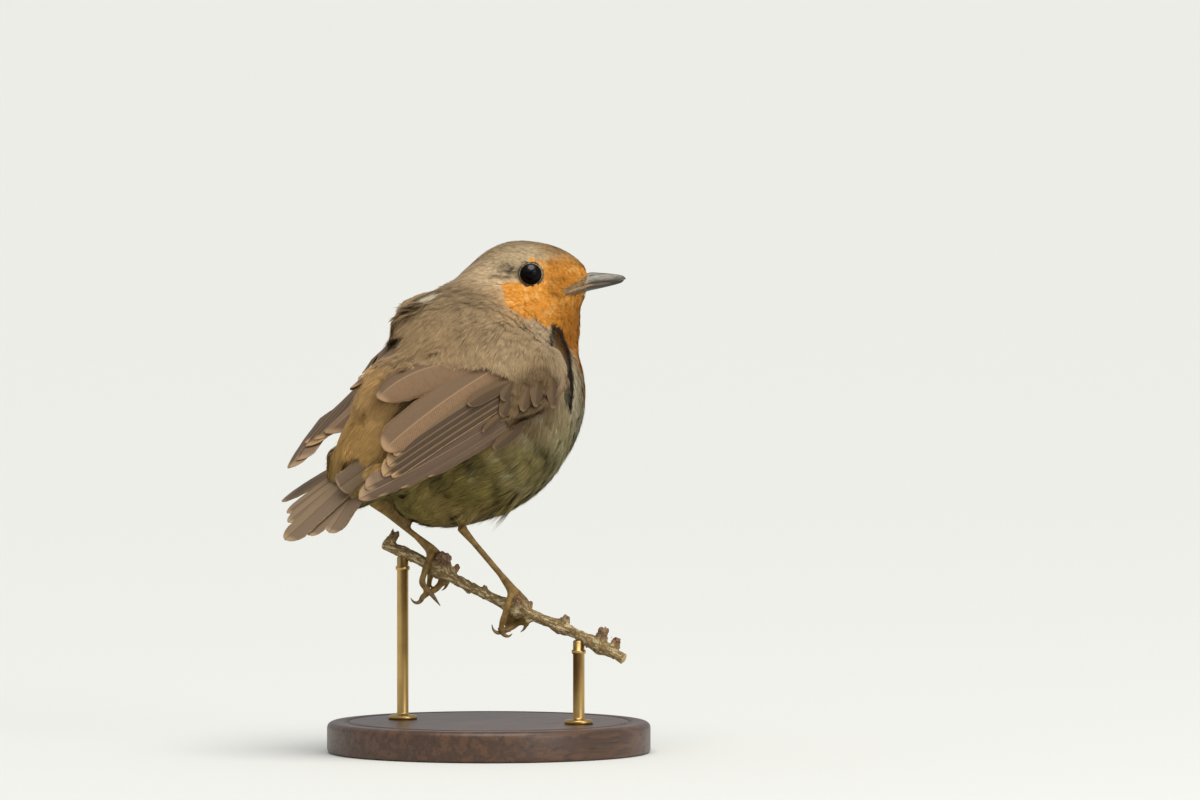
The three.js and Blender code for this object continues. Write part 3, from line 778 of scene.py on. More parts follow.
# The small rounded coverts that show over the wing's front, as rows of what vane takes.
COVERT_LOBES = [
    ((19, -6.0), (24, -7.0), (30.5, -7.8), (1.9, 1.7), -0.8, 0.45, 0.6, 0.7),
    ((13, 3.6), (19, 1.4), (24.6, -2.2), (2.3, 2.3), -0.8, 0.45, 0.6, 0.9),
    ((12, 5.8), (17, 4.0), (22.4, 1.0), (2.3, 2.3), -0.6, 0.45, 0.6, 0.9),
    ((8, 4.4), (13, 1.4), (18.8, -3.8), (2.4, 2.3), -0.9, 0.45, 0.6, 1.1),
    ((5.0, 5.0), (10, 1.4), (14.8, -4.6), (2.3, 2.2), -0.7, 0.45, 0.6, 1.1),
    ((0.6, 4.6), (5.4, 0.8), (9.6, -7.0), (2.5, 2.4), -0.8, 0.45, 0.6, 1.2),
]


def lobe_gaps(along, up):
    """How far each place on the wing is from the showing halves of the small coverts."""
    spots = np.column_stack((along, up))
    gap = np.full(len(spots), 99.0)
    for _, bend, tip, webs, *_ in COVERT_LOBES:
        start = np.array(bend) * 0.6 + np.array(tip) * 0.4
        way = np.subtract(tip, start) * 0.8
        t = np.clip((spots - start) @ way / (way @ way), 0, 1)
        gap = np.minimum(gap, np.linalg.norm(spots - start - t[:, None] * way, axis=1) - 0.5 * sum(webs))
    return gap


def wing_feathers(name, side):
    """The folded wing's feathers, from the outermost primary up to the innermost tertial."""
    full, over = wing_sheet(side), over_cushion(side)
    reach = 1.0 if side < 0 else 0.96
    splay = 0.0 if side < 0 else 0.75  # the left wing's feathers turn their faces back more

    def sheet(along, up, off):
        turned_in = splay * (min(up, 11.0) - 1) * min(1.0, max(0.0, (along - 26) / 18))
        return full(along * reach, up, off - turned_in)

    def upper(along, up, off):
        return full(along * reach, up, off - 2.6 * splay)

    def rows(on, table):
        keys = ("root", "bend", "tip", "webs", "off", "blunt", "camber", "lift")
        return [dict(zip(keys, row), sheet=on) for row in table]

    primaries = rows(sheet, [
        ((12, -4.6), (34, -6.3), (50, -4.9), (1.8, 0.9), 0.3, 0.8),
        ((14, -4.0), (38, -5.5), (58, -3.8), (1.8, 0.9), 0.55, 0.8),
        ((16, -3.4), (42, -4.7), (64.5, -2.6), (1.9, 0.9), 0.8, 0.8),
        ((18, -2.4), (45, -3.5), (69.4, -0.7), (3.2, 1.7), 1.1, 0.9),
        ((18, -1.2), (44, -1.9), (66.5, 0.6), (3.2, 1.5), 1.35, 0.91),
    ])
    secondaries = rows(sheet, [
        ((14, 0.4), (40, 0.3), (59.0, -0.7), (3.4, 1.0), 2.3, 0.88, 0.4, -0.5),
        ((14, 1.8), (40, 1.8), (61.0, 0.8), (3.6, 1.1), 2.5, 0.9, 0.4, -0.5),
        ((14, 3.2), (39, 3.3), (58.4, 2.2), (3.6, 1.2), 2.7, 0.9, 0.4, -0.5),
        ((14, 4.8), (38, 5.0), (55.6, 3.8), (3.4, 1.3), 2.9, 0.88, 0.4, -0.4),
    ])
    tertials = rows(sheet, [
        ((14, 9), (35, 10), (57.4, 6.2), (4.7, 3.7), 3.1, 0.84, 0.9, 0.3),
    ])
    tertials += rows(upper, [
        ((17, 10), (34, 23), (50.8, 18.4), (3.0, 6.6), 3.1, 0.58, 1.6, 1.5),
    ])
    greater = rows(sheet, [
        ((17, 4.0), (25, 5.4), (31.4, 4.6), (1.5, 2.1), 3.7, 0.6, 0.5, 0.3),
        ((18, -1.2), (25, -1.8), (31.2, -3.0), (1.3, 1.0), 2.2, 0.6),
    ])
    lobes = rows(over, COVERT_LOBES)
    wing = f"wing_{name}"
    feather_piece(f"{wing}_primary_feathers", primaries, PRIMARY_FINISH, [f"{wing}_primaries"])
    feather_piece(f"{wing}_secondary_feathers", secondaries, SECONDARY_FINISH, [f"{wing}_secondaries"])
    feather_piece(f"{wing}_tertials", tertials, TERTIAL_FINISH)
    feather_piece(f"{wing}_coverts_rows", greater + lobes, COVERT_FINISH)


def tail_feathers():
    rows = [
        # root, bend, tip, webs (left, right), height off the sheet, bluntness
        ((2, -1.2), (13, -3.6), (24.0, -6.4), (2.4, 2.3), -0.4, 0.84),
        ((2, -0.8), (13, -3.2), (25.0, -6.4), (2.7, 2.4), 0.0, 0.86),
        ((2, -0.4), (16, -1.4), (29.0, -2.8), (3.0, 2.4), 0.15, 0.86),
        ((2, 4.0), (12, 10.2), (21.4, 15.6), (2.4, 2.6), 0.0, 0.8),
        ((2, 4.0), (12, 10.4), (22.6, 16.4), (2.5, 2.8), 0.3, 0.8),
        ((2, 2.6), (14, 6.6), (26.4, 8.6), (2.4, 2.6), 0.45, 0.84),
        ((2, 1.4), (15, 3.8), (29.0, 5.0), (2.7, 2.5), 0.65, 0.84),
        ((2, 0.2), (18, 0.4), (34.0, 0.6), (3.1, 3.5), 1.0, 0.86),
    ]
    feathers = [
        dict(sheet=tail_sheet, root=root, bend=bend, tip=tip, webs=webs, off=off, blunt=blunt, camber=0.25)
        for root, bend, tip, webs, off, blunt in rows
    ]
    over_tail = dict(root=(0, 0), bend=(5, 0), tip=(11, 0), webs=(2.9, 2.9), off=0.55, blunt=0.93, lift=0.5)
    feathers.append(dict(sheet=rump_sheet, **over_tail))
    feather_piece("tail_feathers", feathers, TAIL_FINISH, ["tail"])


# ---------- the skin ----------
LEGS = [f"{part}_{side}" for part in ("thigh", "tarsus", "foot") for side in SIDES]
FLESH = ["head", "neck", "trunk"] + LEGS
COVERTS = [f"wing_{side}_coverts" for side in SIDES]
FLIGHT = [f"wing_{side}_{part}" for side in SIDES for part in ("primaries", "secondaries")]
SKIN_VOXEL, SHELL_VOXEL = 0.38, 0.5
JOIN = 0.22  # swells the solids enough to close the thin cuts between them
FILL = 0.9  # swells the body enough to close the hollow round each folded wing's coverts


def joined(bm, other):
    """Two bmeshes as one."""
    mesh = bpy.data.meshes.new("joining")
    other.to_mesh(mesh)
    other.free()
    bm.from_mesh(mesh)
    bpy.data.meshes.remove(mesh)
    return bm


def searcher(points, faces):
    return BVHTree.FromPolygons(points.tolist(), faces.tolist())


def gaps_to(tree, points):
    """How far each point is from the surface that a search tree holds."""
    return np.array([tree.find_nearest(point)[3] for point in points.tolist()])


def bare_tree():
    return BVHTree.FromBMesh(bare_legs())


def legness(points):
    """1 on the bare legs and feet, 0 a little away from them."""
    low = TRUNK.centre[2] - 12
    made = np.zeros(len(points))
    near = points[:, 2] < low
    made[near] = 1 - ease(gaps_to(bare_tree(), points[near]), 0.3, 1.3)
    return made


def store(mesh, name, kind, key, values, domain="POINT"):
    layer = mesh.attributes.new(name, kind, domain)
    layer.data.foreach_set(key, np.ascontiguousarray(values, np.float32).ravel())


def with_alpha(colours):
    return np.column_stack((np.clip(colours, 0, 1), np.ones(len(colours))))


SKIN_STEPS = 8
SLIT_DEPTH = 2.4  # how much deeper the skin lies in the slits before the wings
SOFTENING = 90  # rounds that melt the rims of the wings' cushions into the body
UNDERCOAT_AND_SHADE = 0.84  # how much darker the skin under the coat is than the feathers: partly the down's own colour, partly painted shade between the feathers

BILL_ROOT, BILL_BASE = 10.0, 17.3  # where the bill starts inside the face, and where it leaves the feathers
MOUTH_HEIGHT = 0.39  # of the line between the bill's halves, where the bill leaves the feathers
MOUTH_RISE, GAPE_RISE = 0.11, 0.3  # how fast it rises before and behind that


def mouth_at(ahead):
    """How high the mouth's line is, in the head's own axes, where that far ahead."""
    in_face = np.maximum(0, BILL_BASE - ahead)
    return MOUTH_HEIGHT + MOUTH_RISE * (ahead - BILL_BASE) - (GAPE_RISE - MOUTH_RISE) * in_face


def over_mouth(points):
    """Points in the head's own axes, with their heights counted from the mouth."""
    head = HEAD.into(points)
    return np.column_stack((head[:, :2], head[:, 2] - mouth_at(head[:, 0])))


def skin_finish():
    finish = Finish("skin and undercoat", 0.75, Specular_IOR_Level=0.25)
    # The plumage attribute holds the skin's colour with painted shade between the feathers already in it.
    down = finish.attribute("plumage", "Color")
    place = finish.place()
    fine = finish.noise(place, 2600, 4)
    coat = finish.mix((fine - 0.3).ease(0, 0.4), tuple(0.68 * np.ones(3)), tuple(np.ones(3)))
    coat = finish.mix(1.0, down, coat, "MULTIPLY")
    bare, along, gape = finish.parts(finish.attribute("leg", "Vector"))
    ring = ((along + finish.noise(place, 900, 2) * 0.35).part() - 0.5).size()
    groove = ring.ease(0.38, 0.48) * 0.5
    mottle = finish.noise(place, 500, 4)
    horn = finish.mix(mottle.ease(0.35, 0.7), tint(140, 110, 58), tint(102, 78, 40))
    horn = finish.mix(groove * 0.6, horn, tint(74, 52, 30))
    colour = finish.mix(bare, coat, horn)
    up = finish.parts(finish.attribute("bill", "Vector"))[2]
    streak = finish.noise(finish.stretched(finish.attribute("bill", "Vector"), (0.4, 1, 2.6)), 1.2, 4)
    rind = finish.mix(streak.ease(0.35, 0.65), tint(102, 78, 48), tint(142, 114, 78))
    rind = finish.mix((1 - up.ease(-1.2, -0.3)) * 0.7, rind, tint(74, 54, 28))
    finish.colour(finish.mix(gape, colour, rind))
    finish.set(Roughness=0.8 - bare * 0.35 - gape * 0.3)
    rough = finish.noise(place, 2400, 3) * bare * 0.25
    finish.bump(fine * (1 - bare) * 0.4 - groove * bare + rough, 0.12, 0.8)
    return finish


BALLS = {  # where each foot's toes meet
    "left": TRUNK.centre + (-9.5, 8.2, -33.9),
    "right": TRUNK.centre + (-1.3, -13.2, -44.1),
}
FEET = {side: Place(ball, turned("Z", -47)) for side, ball in BALLS.items()}
# The middle line of each toe and, after it, of its claw, from the foot's ball in the foot's own axes.
TOES = {
    "left": {
        "hind": ([(0, 0, 0.4), (-0.5, -1.6, -1.6), (-1.3, -2.7, -3.9), (-2.2, -2.6, -6.4), (-2.7, -1.8, -8.3),
                  (-1.5, -1.0, -9.9), (-0.6, -0.6, -10.6)], [(0.8, -0.2, -12.5), (2.2, 0.2, -14.4)]),
        "middle": ([(0, 0, 0.3), (1.8, 3.0, -2.4), (2.6, 3.0, -6.6), (2.2, 1.8, -9.1), (0.6, 0.8, -10.4),
                    (-1.3, 0.2, -11.2), (-2.5, -0.2, -12.1)],
                   [(-2.9, -0.4, -13.2), (-4.1, -0.6, -13.7), (-5.1, -0.7, -13.0), (-5.5, -0.8, -12.2)]),
        "outer": ([(0.2, 0, 0.3), (3.2, 2.4, -2.4), (4.4, 2.6, -5.8), (4.0, 1.8, -8.4)],
                  [(3.5, 1.0, -9.8), (2.5, 0.4, -10.4)]),
        "inner": ([(0, 0.4, 0), (-0.2, 3.6, -2.8), (-0.4, 4.2, -6.4), (-0.8, 3.2, -9.0)],
                  [(-1.0, 2.2, -10.2), (-1.2, 1.0, -10.8)]),
    },
    "right": {
        "hind": ([(0, 0, 0.4), (-0.9, -1.8, -1.6), (-1.7, -2.7, -4.1), (-2.6, -2.1, -7.0), (-3.3, -0.9, -9.4),
                  (-3.2, -0.4, -10.1)], [(-2.3, 0.2, -11.4), (-1.1, 0.8, -11.7), (-0.3, 1.2, -10.9)]),
        "middle": ([(0, 0, 0.3), (1.3, 3.2, -2.4), (1.5, 3.2, -6.4), (0.9, 2.2, -8.4), (-0.9, 1.0, -9.6),
                    (-2.9, 0.2, -10.3)], [(-4.1, -0.1, -10.8), (-5.3, -0.5, -9.9), (-5.6, -0.7, -8.4)]),
        "outer": ([(0.2, 0, 0.3), (3.2, 2.2, -2.4), (4.2, 2.2, -6.2), (3.3, 1.6, -8.6)],
                  [(2.7, 1.0, -9.9), (1.8, 0.6, -10.5)]),
        "inner": ([(0, 0.4, 0), (-0.8, 3.6, -2.8), (-1.2, 4.2, -6.2), (-1.7, 3.2, -8.8)],
                  [(-1.9, 2.2, -10.0), (-2.1, 1.0, -10.6)]),
    },
}


THIGHS = {  # from the hip to the heel, from the trunk's middle
    "left": ((-14, 9, -12), (-27.1, 13, -20.6)),
    "right": ((-9, -9, -14), (-16.8, -9, -26.8)),
}


def slim_thighs(bm):
    for ends in THIGHS.values():
        hip, heel = TRUNK.centre + np.array(ends)
        way = heel - hip
        bmesh.ops.create_cone(
            bm, cap_ends=True, segments=20, radius1=4.2, radius2=1.5, depth=float(np.linalg.norm(way)),
            matrix=directed(unit(way), (hip + heel) / 2),
        )


def rounded_out(bm):
    """Fills the eyes' hollows, and the one beside the left wing that the back's long feathers bridge."""
    for side in SIDES:
        bmesh.ops.create_icosphere(
            bm, subdivisions=4, radius=3.1, matrix=Matrix.Translation(Vector(middle(f"eye_{side}")))
        )
    sheet = wing_sheet(SIDES["left"])
    centre = sheet(38, 20, -3.2)
    stretch = Matrix.Identity(4)
    stretch[0][0], stretch[1][1], stretch[2][2] = 17, 5.5, 4.6
    ways = [TRUNK.turn @ (way * (1, -1, 1)) for way in (WING_BACK, WING_UP, WING_OUT)]
    turn = Matrix(np.column_stack(ways))
    bmesh.ops.create_icosphere(
        bm, subdivisions=4, radius=1, matrix=Matrix.Translation(Vector(centre)) @ turn.to_4x4() @ stretch
    )
    return bm


def drawn_curve(points, step=0.4):
    """Points close together along a smooth curve by a few given ones, with the share of the way to each."""
    points = np.array(points, float)
    for _ in range(3):
        first, second = points[:-1], points[1:]
        cut = np.stack((first * 0.75 + second * 0.25, first * 0.25 + second * 0.75), 1)
        points = np.vstack((points[:1], cut.reshape(-1, 3), points[-1:]))
    reach = np.concatenate(([0], np.cumsum(np.linalg.norm(np.diff(points, axis=0), axis=1))))
    share = np.linspace(0, 1, max(3, int(reach[-1] / step)))
    return np.column_stack([np.interp(share * reach[-1], reach, column) for column in points.T]), share


def bare_legs():
    """The tarsi from the solids, with a joint that widens each down to toes that grip the twig."""
    legs = swollen(copy_of("tarsus_left", "tarsus_right"), JOIN)
    for side, ball in BALLS.items():
        low, high = corners(f"tarsus_{side}")
        up = unit((low + high) / 2 - ball)
        bmesh.ops.create_icosphere(legs, subdivisions=3, radius=1.8, matrix=Matrix.Translation(Vector(ball)))
        bmesh.ops.create_cone(
            legs, cap_ends=True, segments=16, radius1=1.75, radius2=1.2, depth=5.5,
            matrix=directed(up, ball + up * 2.7),
        )
        for line, _ in TOES[side].values():
            spots, share = drawn_curve(line)
            for spot, t in zip(FEET[side].out(spots), share):
                radius = (1.5 - 0.3 * t) * (1 + 0.06 * math.sin(19 * t))
                bmesh.ops.create_icosphere(
                    legs, subdivisions=2, radius=radius, matrix=Matrix.Translation(Vector(spot))
                )
    return legs


def make_skin():
    """One surface over the body, legs and feet, as deep under the feathers' outline as the coat is thick."""
    body = swollen(rounded_out(copy_of(*FLESH[:3], *COVERTS)), FILL)
    slim_thighs(body)
    legs = bare_legs()
    surface = Surface(melted(joined(body, legs), SKIN_VOXEL))
    bare = legness(surface.points)
    surface.smooth(6, 0.6 - 0.35 * bare)
    surface.smooth(SOFTENING, 0.7 * (1 - bare) * (1 - ease(TRUNK.into(surface.points)[:, 2], 22, 30)))
    depth = blended(surface.points, [DEPTH])[:, 0]
    depth = (depth + FILL) * (1 - bare) + (JOIN + 0.14) * bare
    depth += SLIT_DEPTH * (1 - ease(slit_gaps(surface.points)[0], 0.7, 1.3))
    for _ in range(4):
        depth = surface.around(depth)
    for _ in range(SKIN_STEPS):
        surface.points -= surface.normals() * (depth / SKIN_STEPS)[:, None]
        surface.smooth(2, 0.5 * np.clip(depth, 0, 1))
    head = HEAD.into(surface.points)
    for side in SIDES.values():
        ahead, out, up = ((head - (EYE_FORWARD, side * EYE_OUT, EYE_UP)) * (1, side, 1)).T
        over = np.maximum(0, out - 0.7 - 4 * ease(np.hypot(ahead, up), 3.0, 4.3)) * (np.hypot(ahead, up) < 5)
        head[:, 1] -= side * over
    surface.points = HEAD.out(head)
    mesh = surface.write()
    # The skin takes the plumage's colour darkened by the undercoat share: partly the down's own colour,
    # partly painted shade between the feathers.
    colour = plumage(surface.points) * UNDERCOAT_AND_SHADE
    store(mesh, "plumage", "FLOAT_COLOR", "color", with_alpha(colour))
    gape = (1 - ease(outside_bill(head), -0.15, 0.35)) * (np.abs(head[:, 1]) > 1)
    store(mesh, "leg", "FLOAT_VECTOR", "vector", np.column_stack((bare, leg_rings(surface.points), gape)))
    store(mesh, "bill", "FLOAT_VECTOR", "vector", over_mouth(surface.points))
    add("robin_skin", mesh, skin_finish(), FLESH + COVERTS)


SCUTE = {"tarsus": 2.4, "foot": 1.0}


def leg_rings(points):
    """Counts the scales up each tarsus and along the toes, from the foot's ball."""
    made = np.zeros(len(points))
    for side, ball in BALLS.items():
        place = FEET[side].into(points)
        gap = np.linalg.norm(place, axis=1)
        rings = np.where(place[:, 2] > 1, gap / SCUTE["tarsus"], gap / SCUTE["foot"])
        made = np.where(np.linalg.norm(points - ball, axis=1) < 30, rings, made)
    return made


# ---------- the twig ----------
def points_of(node):
    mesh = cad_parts[node].data
    return np.array([vert.co for vert in mesh.vertices]) / MM


PERCH_POINTS = points_of("perch")
PERCH_WAY = unit(np.linalg.svd(PERCH_POINTS - PERCH_POINTS.mean(0), full_matrices=False)[2][0])
if PERCH_WAY @ (middle("foot_right") - middle("foot_left")) < 0:
    PERCH_WAY = -PERCH_WAY
PERCH_FORWARD = across(np.array([(1.0, 0, 0)]), PERCH_WAY[None])[0]
PERCH_UP = unit(np.cross(PERCH_FORWARD, PERCH_WAY))
if PERCH_UP[2] < 0:
    PERCH_UP = -PERCH_UP
PERCH_ALONG = PERCH_POINTS @ PERCH_WAY
PERCH_ENDS = (PERCH_ALONG.min(), PERCH_ALONG.max())


def perch_middle(near):
    """The middle of the twig beside a point."""
    slice_of = np.abs(PERCH_ALONG - near @ PERCH_WAY) < 2.2
    return PERCH_POINTS[slice_of].mean(0)


def perch_at(distance):
    """The middle of the twig, a distance past the left foot's ball towards the right foot."""
    return perch_middle(BALLS["left"] + PERCH_WAY * distance)


def directed(way, spot):
    """The matrix that stands a shape, made along Z, along a way at a spot."""
    return Matrix.Translation(Vector(spot)) @ Vector(way).to_track_quat("Z", "Y").to_matrix().to_4x4()


# Short shoots on the twig: the distance past the left foot's ball, the turn round the twig in degrees from
# upright, length and radius.
SHOOTS = [
    (-11.5, 20, 3.4, 1.7), (2.8, 14, 4.0, 2.6), (4.6, -15, 2.6, 2.1), (6.8, 30, 2.8, 1.1),
    (13, 160, 1.4, 0.9), (18, 5, 1.6, 0.9), (26.8, 0, 2.2, 2.6), (28.6, -40, 1.6, 1.9),
    (28.9, 60, 2.4, 1.7), (32, 200, 1.6, 1.0), (40.5, 10, 2.6, 1.7), (43.5, -60, 1.8, 1.2),
    (52, 0, 4.0, 2.1), (50.5, -120, 2.4, 1.5), (56.5, 25, 3.6, 1.7),
]


def shoot(bm, distance, degrees, length, radius, seed):
    """A larch's short shoot: a stubby barrel, lumpy all over with broken bud scales."""
    chance = np.random.default_rng(seed)
    turn = math.radians(degrees)
    out = PERCH_UP * math.cos(turn) + PERCH_FORWARD * math.sin(turn) + PERCH_WAY * chance.uniform(-0.3, 0.3)
    out = unit(out)
    foot = perch_at(distance)
    rings = 4
    for ring in range(rings):
        share = ring / rings
        swell = radius * (0.8 + 0.2 * math.sin(math.pi * (share + 0.2))) * chance.uniform(0.8, 1.0)
        spot = foot + out * (0.8 + share * length)
        bmesh.ops.create_cone(
            bm, cap_ends=True, segments=9, radius1=swell * 0.8, radius2=swell * 0.9,
            depth=length / rings * 1.25, matrix=directed(out, spot),
        )
    side = unit(np.cross(out, PERCH_WAY))
    ahead = np.cross(side, out)
    for _ in range(int(10 + 9 * radius)):
        angle, height = chance.uniform(0, 2 * math.pi), chance.uniform(0.05, 1.0)
        lean = side * math.cos(angle) + ahead * math.sin(angle)
        from_middle = lean * radius * chance.uniform(0.45, 0.95) * (1 - 0.4 * height)
        spot = foot + out * (1.0 + length * height) + from_middle
        bmesh.ops.create_cone(
            bm, cap_ends=True, segments=5, radius1=radius * chance.uniform(0.18, 0.34), radius2=0.1,
            depth=radius * chance.uniform(0.4, 0.75),
            matrix=directed(unit(out * chance.uniform(0, 1.2) + lean), spot),
        )


def bark_finish():
    finish = Finish("larch bark", 0.85, Specular_IOR_Level=0.2)
    place = finish.place()
    flow = finish.attribute("flow", "Vector")
    plates = finish.noise(flow, 1.5, 6, 0.65)
    fine = finish.noise(place, 1900, 4, 0.6)
    colour = finish.node(
        "ShaderNodeValToRGB",
        {"stops": [
            (0, tint(40, 29, 16)), (0.4, tint(74, 56, 32)), (0.52, tint(106, 84, 50)),
            (0.62, tint(152, 128, 88)), (1, tint(200, 180, 140)),
        ]},
        {"Fac": plates * 0.75 + fine * 0.25},
        "Color",
    )
    lichen = finish.noise(place, 260, 3).ease(0.6, 0.7)
    colour = finish.mix(lichen * 0.5, colour, tint(96, 92, 48))
    knot = finish.attribute("knot")
    scales = finish.mix(fine.ease(0.4, 0.62), tint(50, 33, 24), tint(150, 112, 88))
    colour = finish.mix(knot * 0.75, colour, scales)
    heart = finish.attribute("cut")
    rings = (finish.attribute("ring") * 2.6 * FULL_TURN).wave() * 0.5 + 0.5
    colour = finish.mix(heart, colour, finish.mix(rings * 0.6, tint(198, 172, 128), tint(160, 128, 84)))
    finish.colour(colour)
    finish.bump(plates * 0.6 + fine * 0.4, 0.25, 0.8)
    return finish


BARK_RELIEF, BARK_VOXEL = 0.12, 0.3


def make_perch():
    bm = swollen(copy_of("perch"), -BARK_RELIEF)
    for number, row in enumerate(SHOOTS):
        shoot(bm, *row, seed=40 + number)
    surface = Surface(melted(bm, BARK_VOXEL))
    surface.smooth(2, 0.5)
    along = surface.points @ PERCH_WAY
    centres = np.array([perch_middle(PERCH_WAY * at) for at in np.arange(*PERCH_ENDS, 1.0)])
    steps = np.clip(((along - PERCH_ENDS[0]) / 1.0).astype(int), 0, len(centres) - 1)
    off = surface.points - centres[steps]
    off -= np.outer(off @ PERCH_WAY, PERCH_WAY)
    radius = np.linalg.norm(off, axis=1)
    knot = ease(radius, 2.3, 3.2)
    end = 1 - ease(np.minimum(along - PERCH_ENDS[0], PERCH_ENDS[1] - along), 0.15, 0.35)
    end *= 1 - ease(radius, 1.45, 1.6)
    angle = np.arctan2(off @ PERCH_UP, off @ PERCH_FORWARD)
    flow = np.column_stack((np.cos(angle) * 1.6, np.sin(angle) * 1.6, along * 0.28))
    relief = (grain(flow, 0.42, 11) - 0.5) * 0.42 + (grain(surface.points, 0.8, 12) - 0.5) * 0.3
    relief += (grain(surface.points, 0.45, 13) - 0.5) * 0.5 * knot
    surface.points += surface.normals() * (relief * (1 - end))[:, None]
    mesh = surface.write()
    store(mesh, "flow", "FLOAT_VECTOR", "vector", flow)
    store(mesh, "knot", "FLOAT", "value", knot)
    store(mesh, "cut", "FLOAT", "value", end)
    store(mesh, "ring", "FLOAT", "value", radius)
    add("larch_twig", mesh, bark_finish(), ["perch"])


# ---------- bill, eyes and claws ----------
def bill_length(node):
    return HEAD.into(np.array(points_of(node)))[:, 0].max()


def store_over_mouth(mesh):
    """Gives a mesh its points over the mouth, for the finishes of the bill and the gape."""
    points = np.array([vert.co for vert in mesh.vertices]) / MM
    store(mesh, "bill", "FLOAT_VECTOR", "vector", over_mouth(points))


def loft(bm, rings):
    """A skin through rings of points, each a closed loop with as many points, closed at both ends."""
    loops = []
    for ring in rings:
        start = bmesh.ops.create_circle(bm, cap_ends=False, segments=len(ring), radius=1)["verts"]
        for vert, point in zip(start, ring):
            vert.co = Vector(point)
        loops.append(start)
    for first, second in zip(loops, loops[1:]):
        edges = {edge for vert in first + second for edge in vert.link_edges}
        ring_edges = [e for e in edges if any(all(v in ring for v in e.verts) for ring in (first, second))]
        bmesh.ops.bridge_loops(bm, edges=ring_edges)
    for loop in (loops[0], loops[-1]):
        bmesh.ops.contextual_create(bm, geom=loop)
    bmesh.ops.recalc_face_normals(bm, faces=bm.faces)


def mandible(name, up, tip, finish):
    """Half of the bill from inside the face to its tip, flat along the mouth and rounded away from it."""
    rings = []
    count, around = 26, 28
    for i in range(count + 1):
        x = BILL_ROOT + (tip - BILL_ROOT) * math.sin(math.pi / 2 * i / count)
        rest = min(1.0, max(0.0, (tip - x) / (tip - BILL_BASE)))
        mouth = mouth_at(x)
        blunt = math.sqrt(max(0.0, 1 - max(0.0, 1 - (tip - x) / 0.9) ** 2))
        half = 0.05 + (0.22 + 2.2 * rest**0.85) * blunt + 0.5 * max(0.0, BILL_BASE - x)
        height = 0.05 + (0.5 + 2.3 * rest**0.62 if up > 0 else 0.4 + 1.4 * rest**0.62) * blunt
        hook = 0.04 * (1 - rest) ** 6 if up > 0 else 0.0
        ring = []
        for k in range(around):
            turn = 2 * math.pi * k / around
            rise = max(0.0, math.sin(turn))
            pinch = 1 - 0.22 * rise
            flat = 0.06 if math.sin(turn) <= 0 else 0.06 + height * rise ** (0.85 if up > 0 else 1.0)
            ring.append(HEAD.out((x, half * math.cos(turn) * pinch, mouth + up * (flat - 0.02) - hook)))
        rings.append(ring)
    bm = bmesh.new()
    loft(bm, rings)
    if up > 0:
        dent_nostrils(bm)
    mesh = as_mesh(name, bm)
    store_over_mouth(mesh)
    return add(f"{name}_horn", mesh, finish, [name])


NOSTRIL = (17.7, 1.6, 2.5)


def dent_nostrils(bm):
    for vert in bm.verts:
        spot = HEAD.into(np.array(vert.co))
        off = (spot - NOSTRIL * np.array((1, np.sign(spot[1]) or 1, 1))) / (1.3, 1.0, 0.45)
        push = 0.35 * math.exp(-float(off @ off))
        vert.co -= Vector(HEAD.turn @ (0, np.sign(spot[1]) * push, 0))


def bill_finish(name, upper):
    finish = Finish(name, 0.34, Specular_IOR_Level=0.5, Coat_Weight=0.25, Coat_Roughness=0.25)
    ahead, out, up = finish.parts(finish.attribute("bill", "Vector"))
    place = finish.place()
    streak = finish.noise(finish.stretched(finish.attribute("bill", "Vector"), (0.35, 2.2, 2.6)), 1.0, 4)
    if upper:
        colour = finish.mix(streak.ease(0.3, 0.7), tint(80, 75, 64), tint(128, 122, 107))
        colour = finish.mix((1 - up.ease(0.2, 0.9)) * 0.85, colour, tint(62, 50, 36))
        colour = finish.mix(ahead.ease(22.5, 26.6) * 0.6, colour, tint(66, 60, 54))
        # Painted shade in the nostril's opening.
        nostril_shade = (ahead - NOSTRIL[0]) ** 2 / 0.9 + (up - NOSTRIL[2] + mouth_at(NOSTRIL[0])) ** 2 / 0.05
        colour = finish.mix((1 - nostril_shade.ease(0.5, 1.3)) * out.size().ease(0.7, 1.1), colour, tint(24, 17, 14))
        colour = finish.mix((1 - ahead.ease(16.4, 17.6)) * 0.6, colour, tint(150, 126, 92))
    else:
        colour = finish.mix(streak.ease(0.35, 0.7), tint(22, 18, 14), tint(46, 38, 28))
        pale = (1 - (up + 0.45).size().ease(0.1, 0.4)) * (1 - ahead.ease(20.5, 23.5))
        colour = finish.mix(pale * 0.55, colour, tint(136, 110, 74))
    finish.colour(colour)
    finish.set(Roughness=0.3 + finish.noise(place, 900, 3) * 0.25)
    finish.bump(streak, 0.06, 0.6)
    return finish


# The gape's outer edge: how far forward and how far out it is.
GAPE_LINE = np.array([
    (10.4, 6.7), (11, 6.75), (12.9, 5.75), (13.5, 5.35), (14.7, 4.45), (16.2, 3.1), (17.3, 2.45), (19.5, 2.0),
])


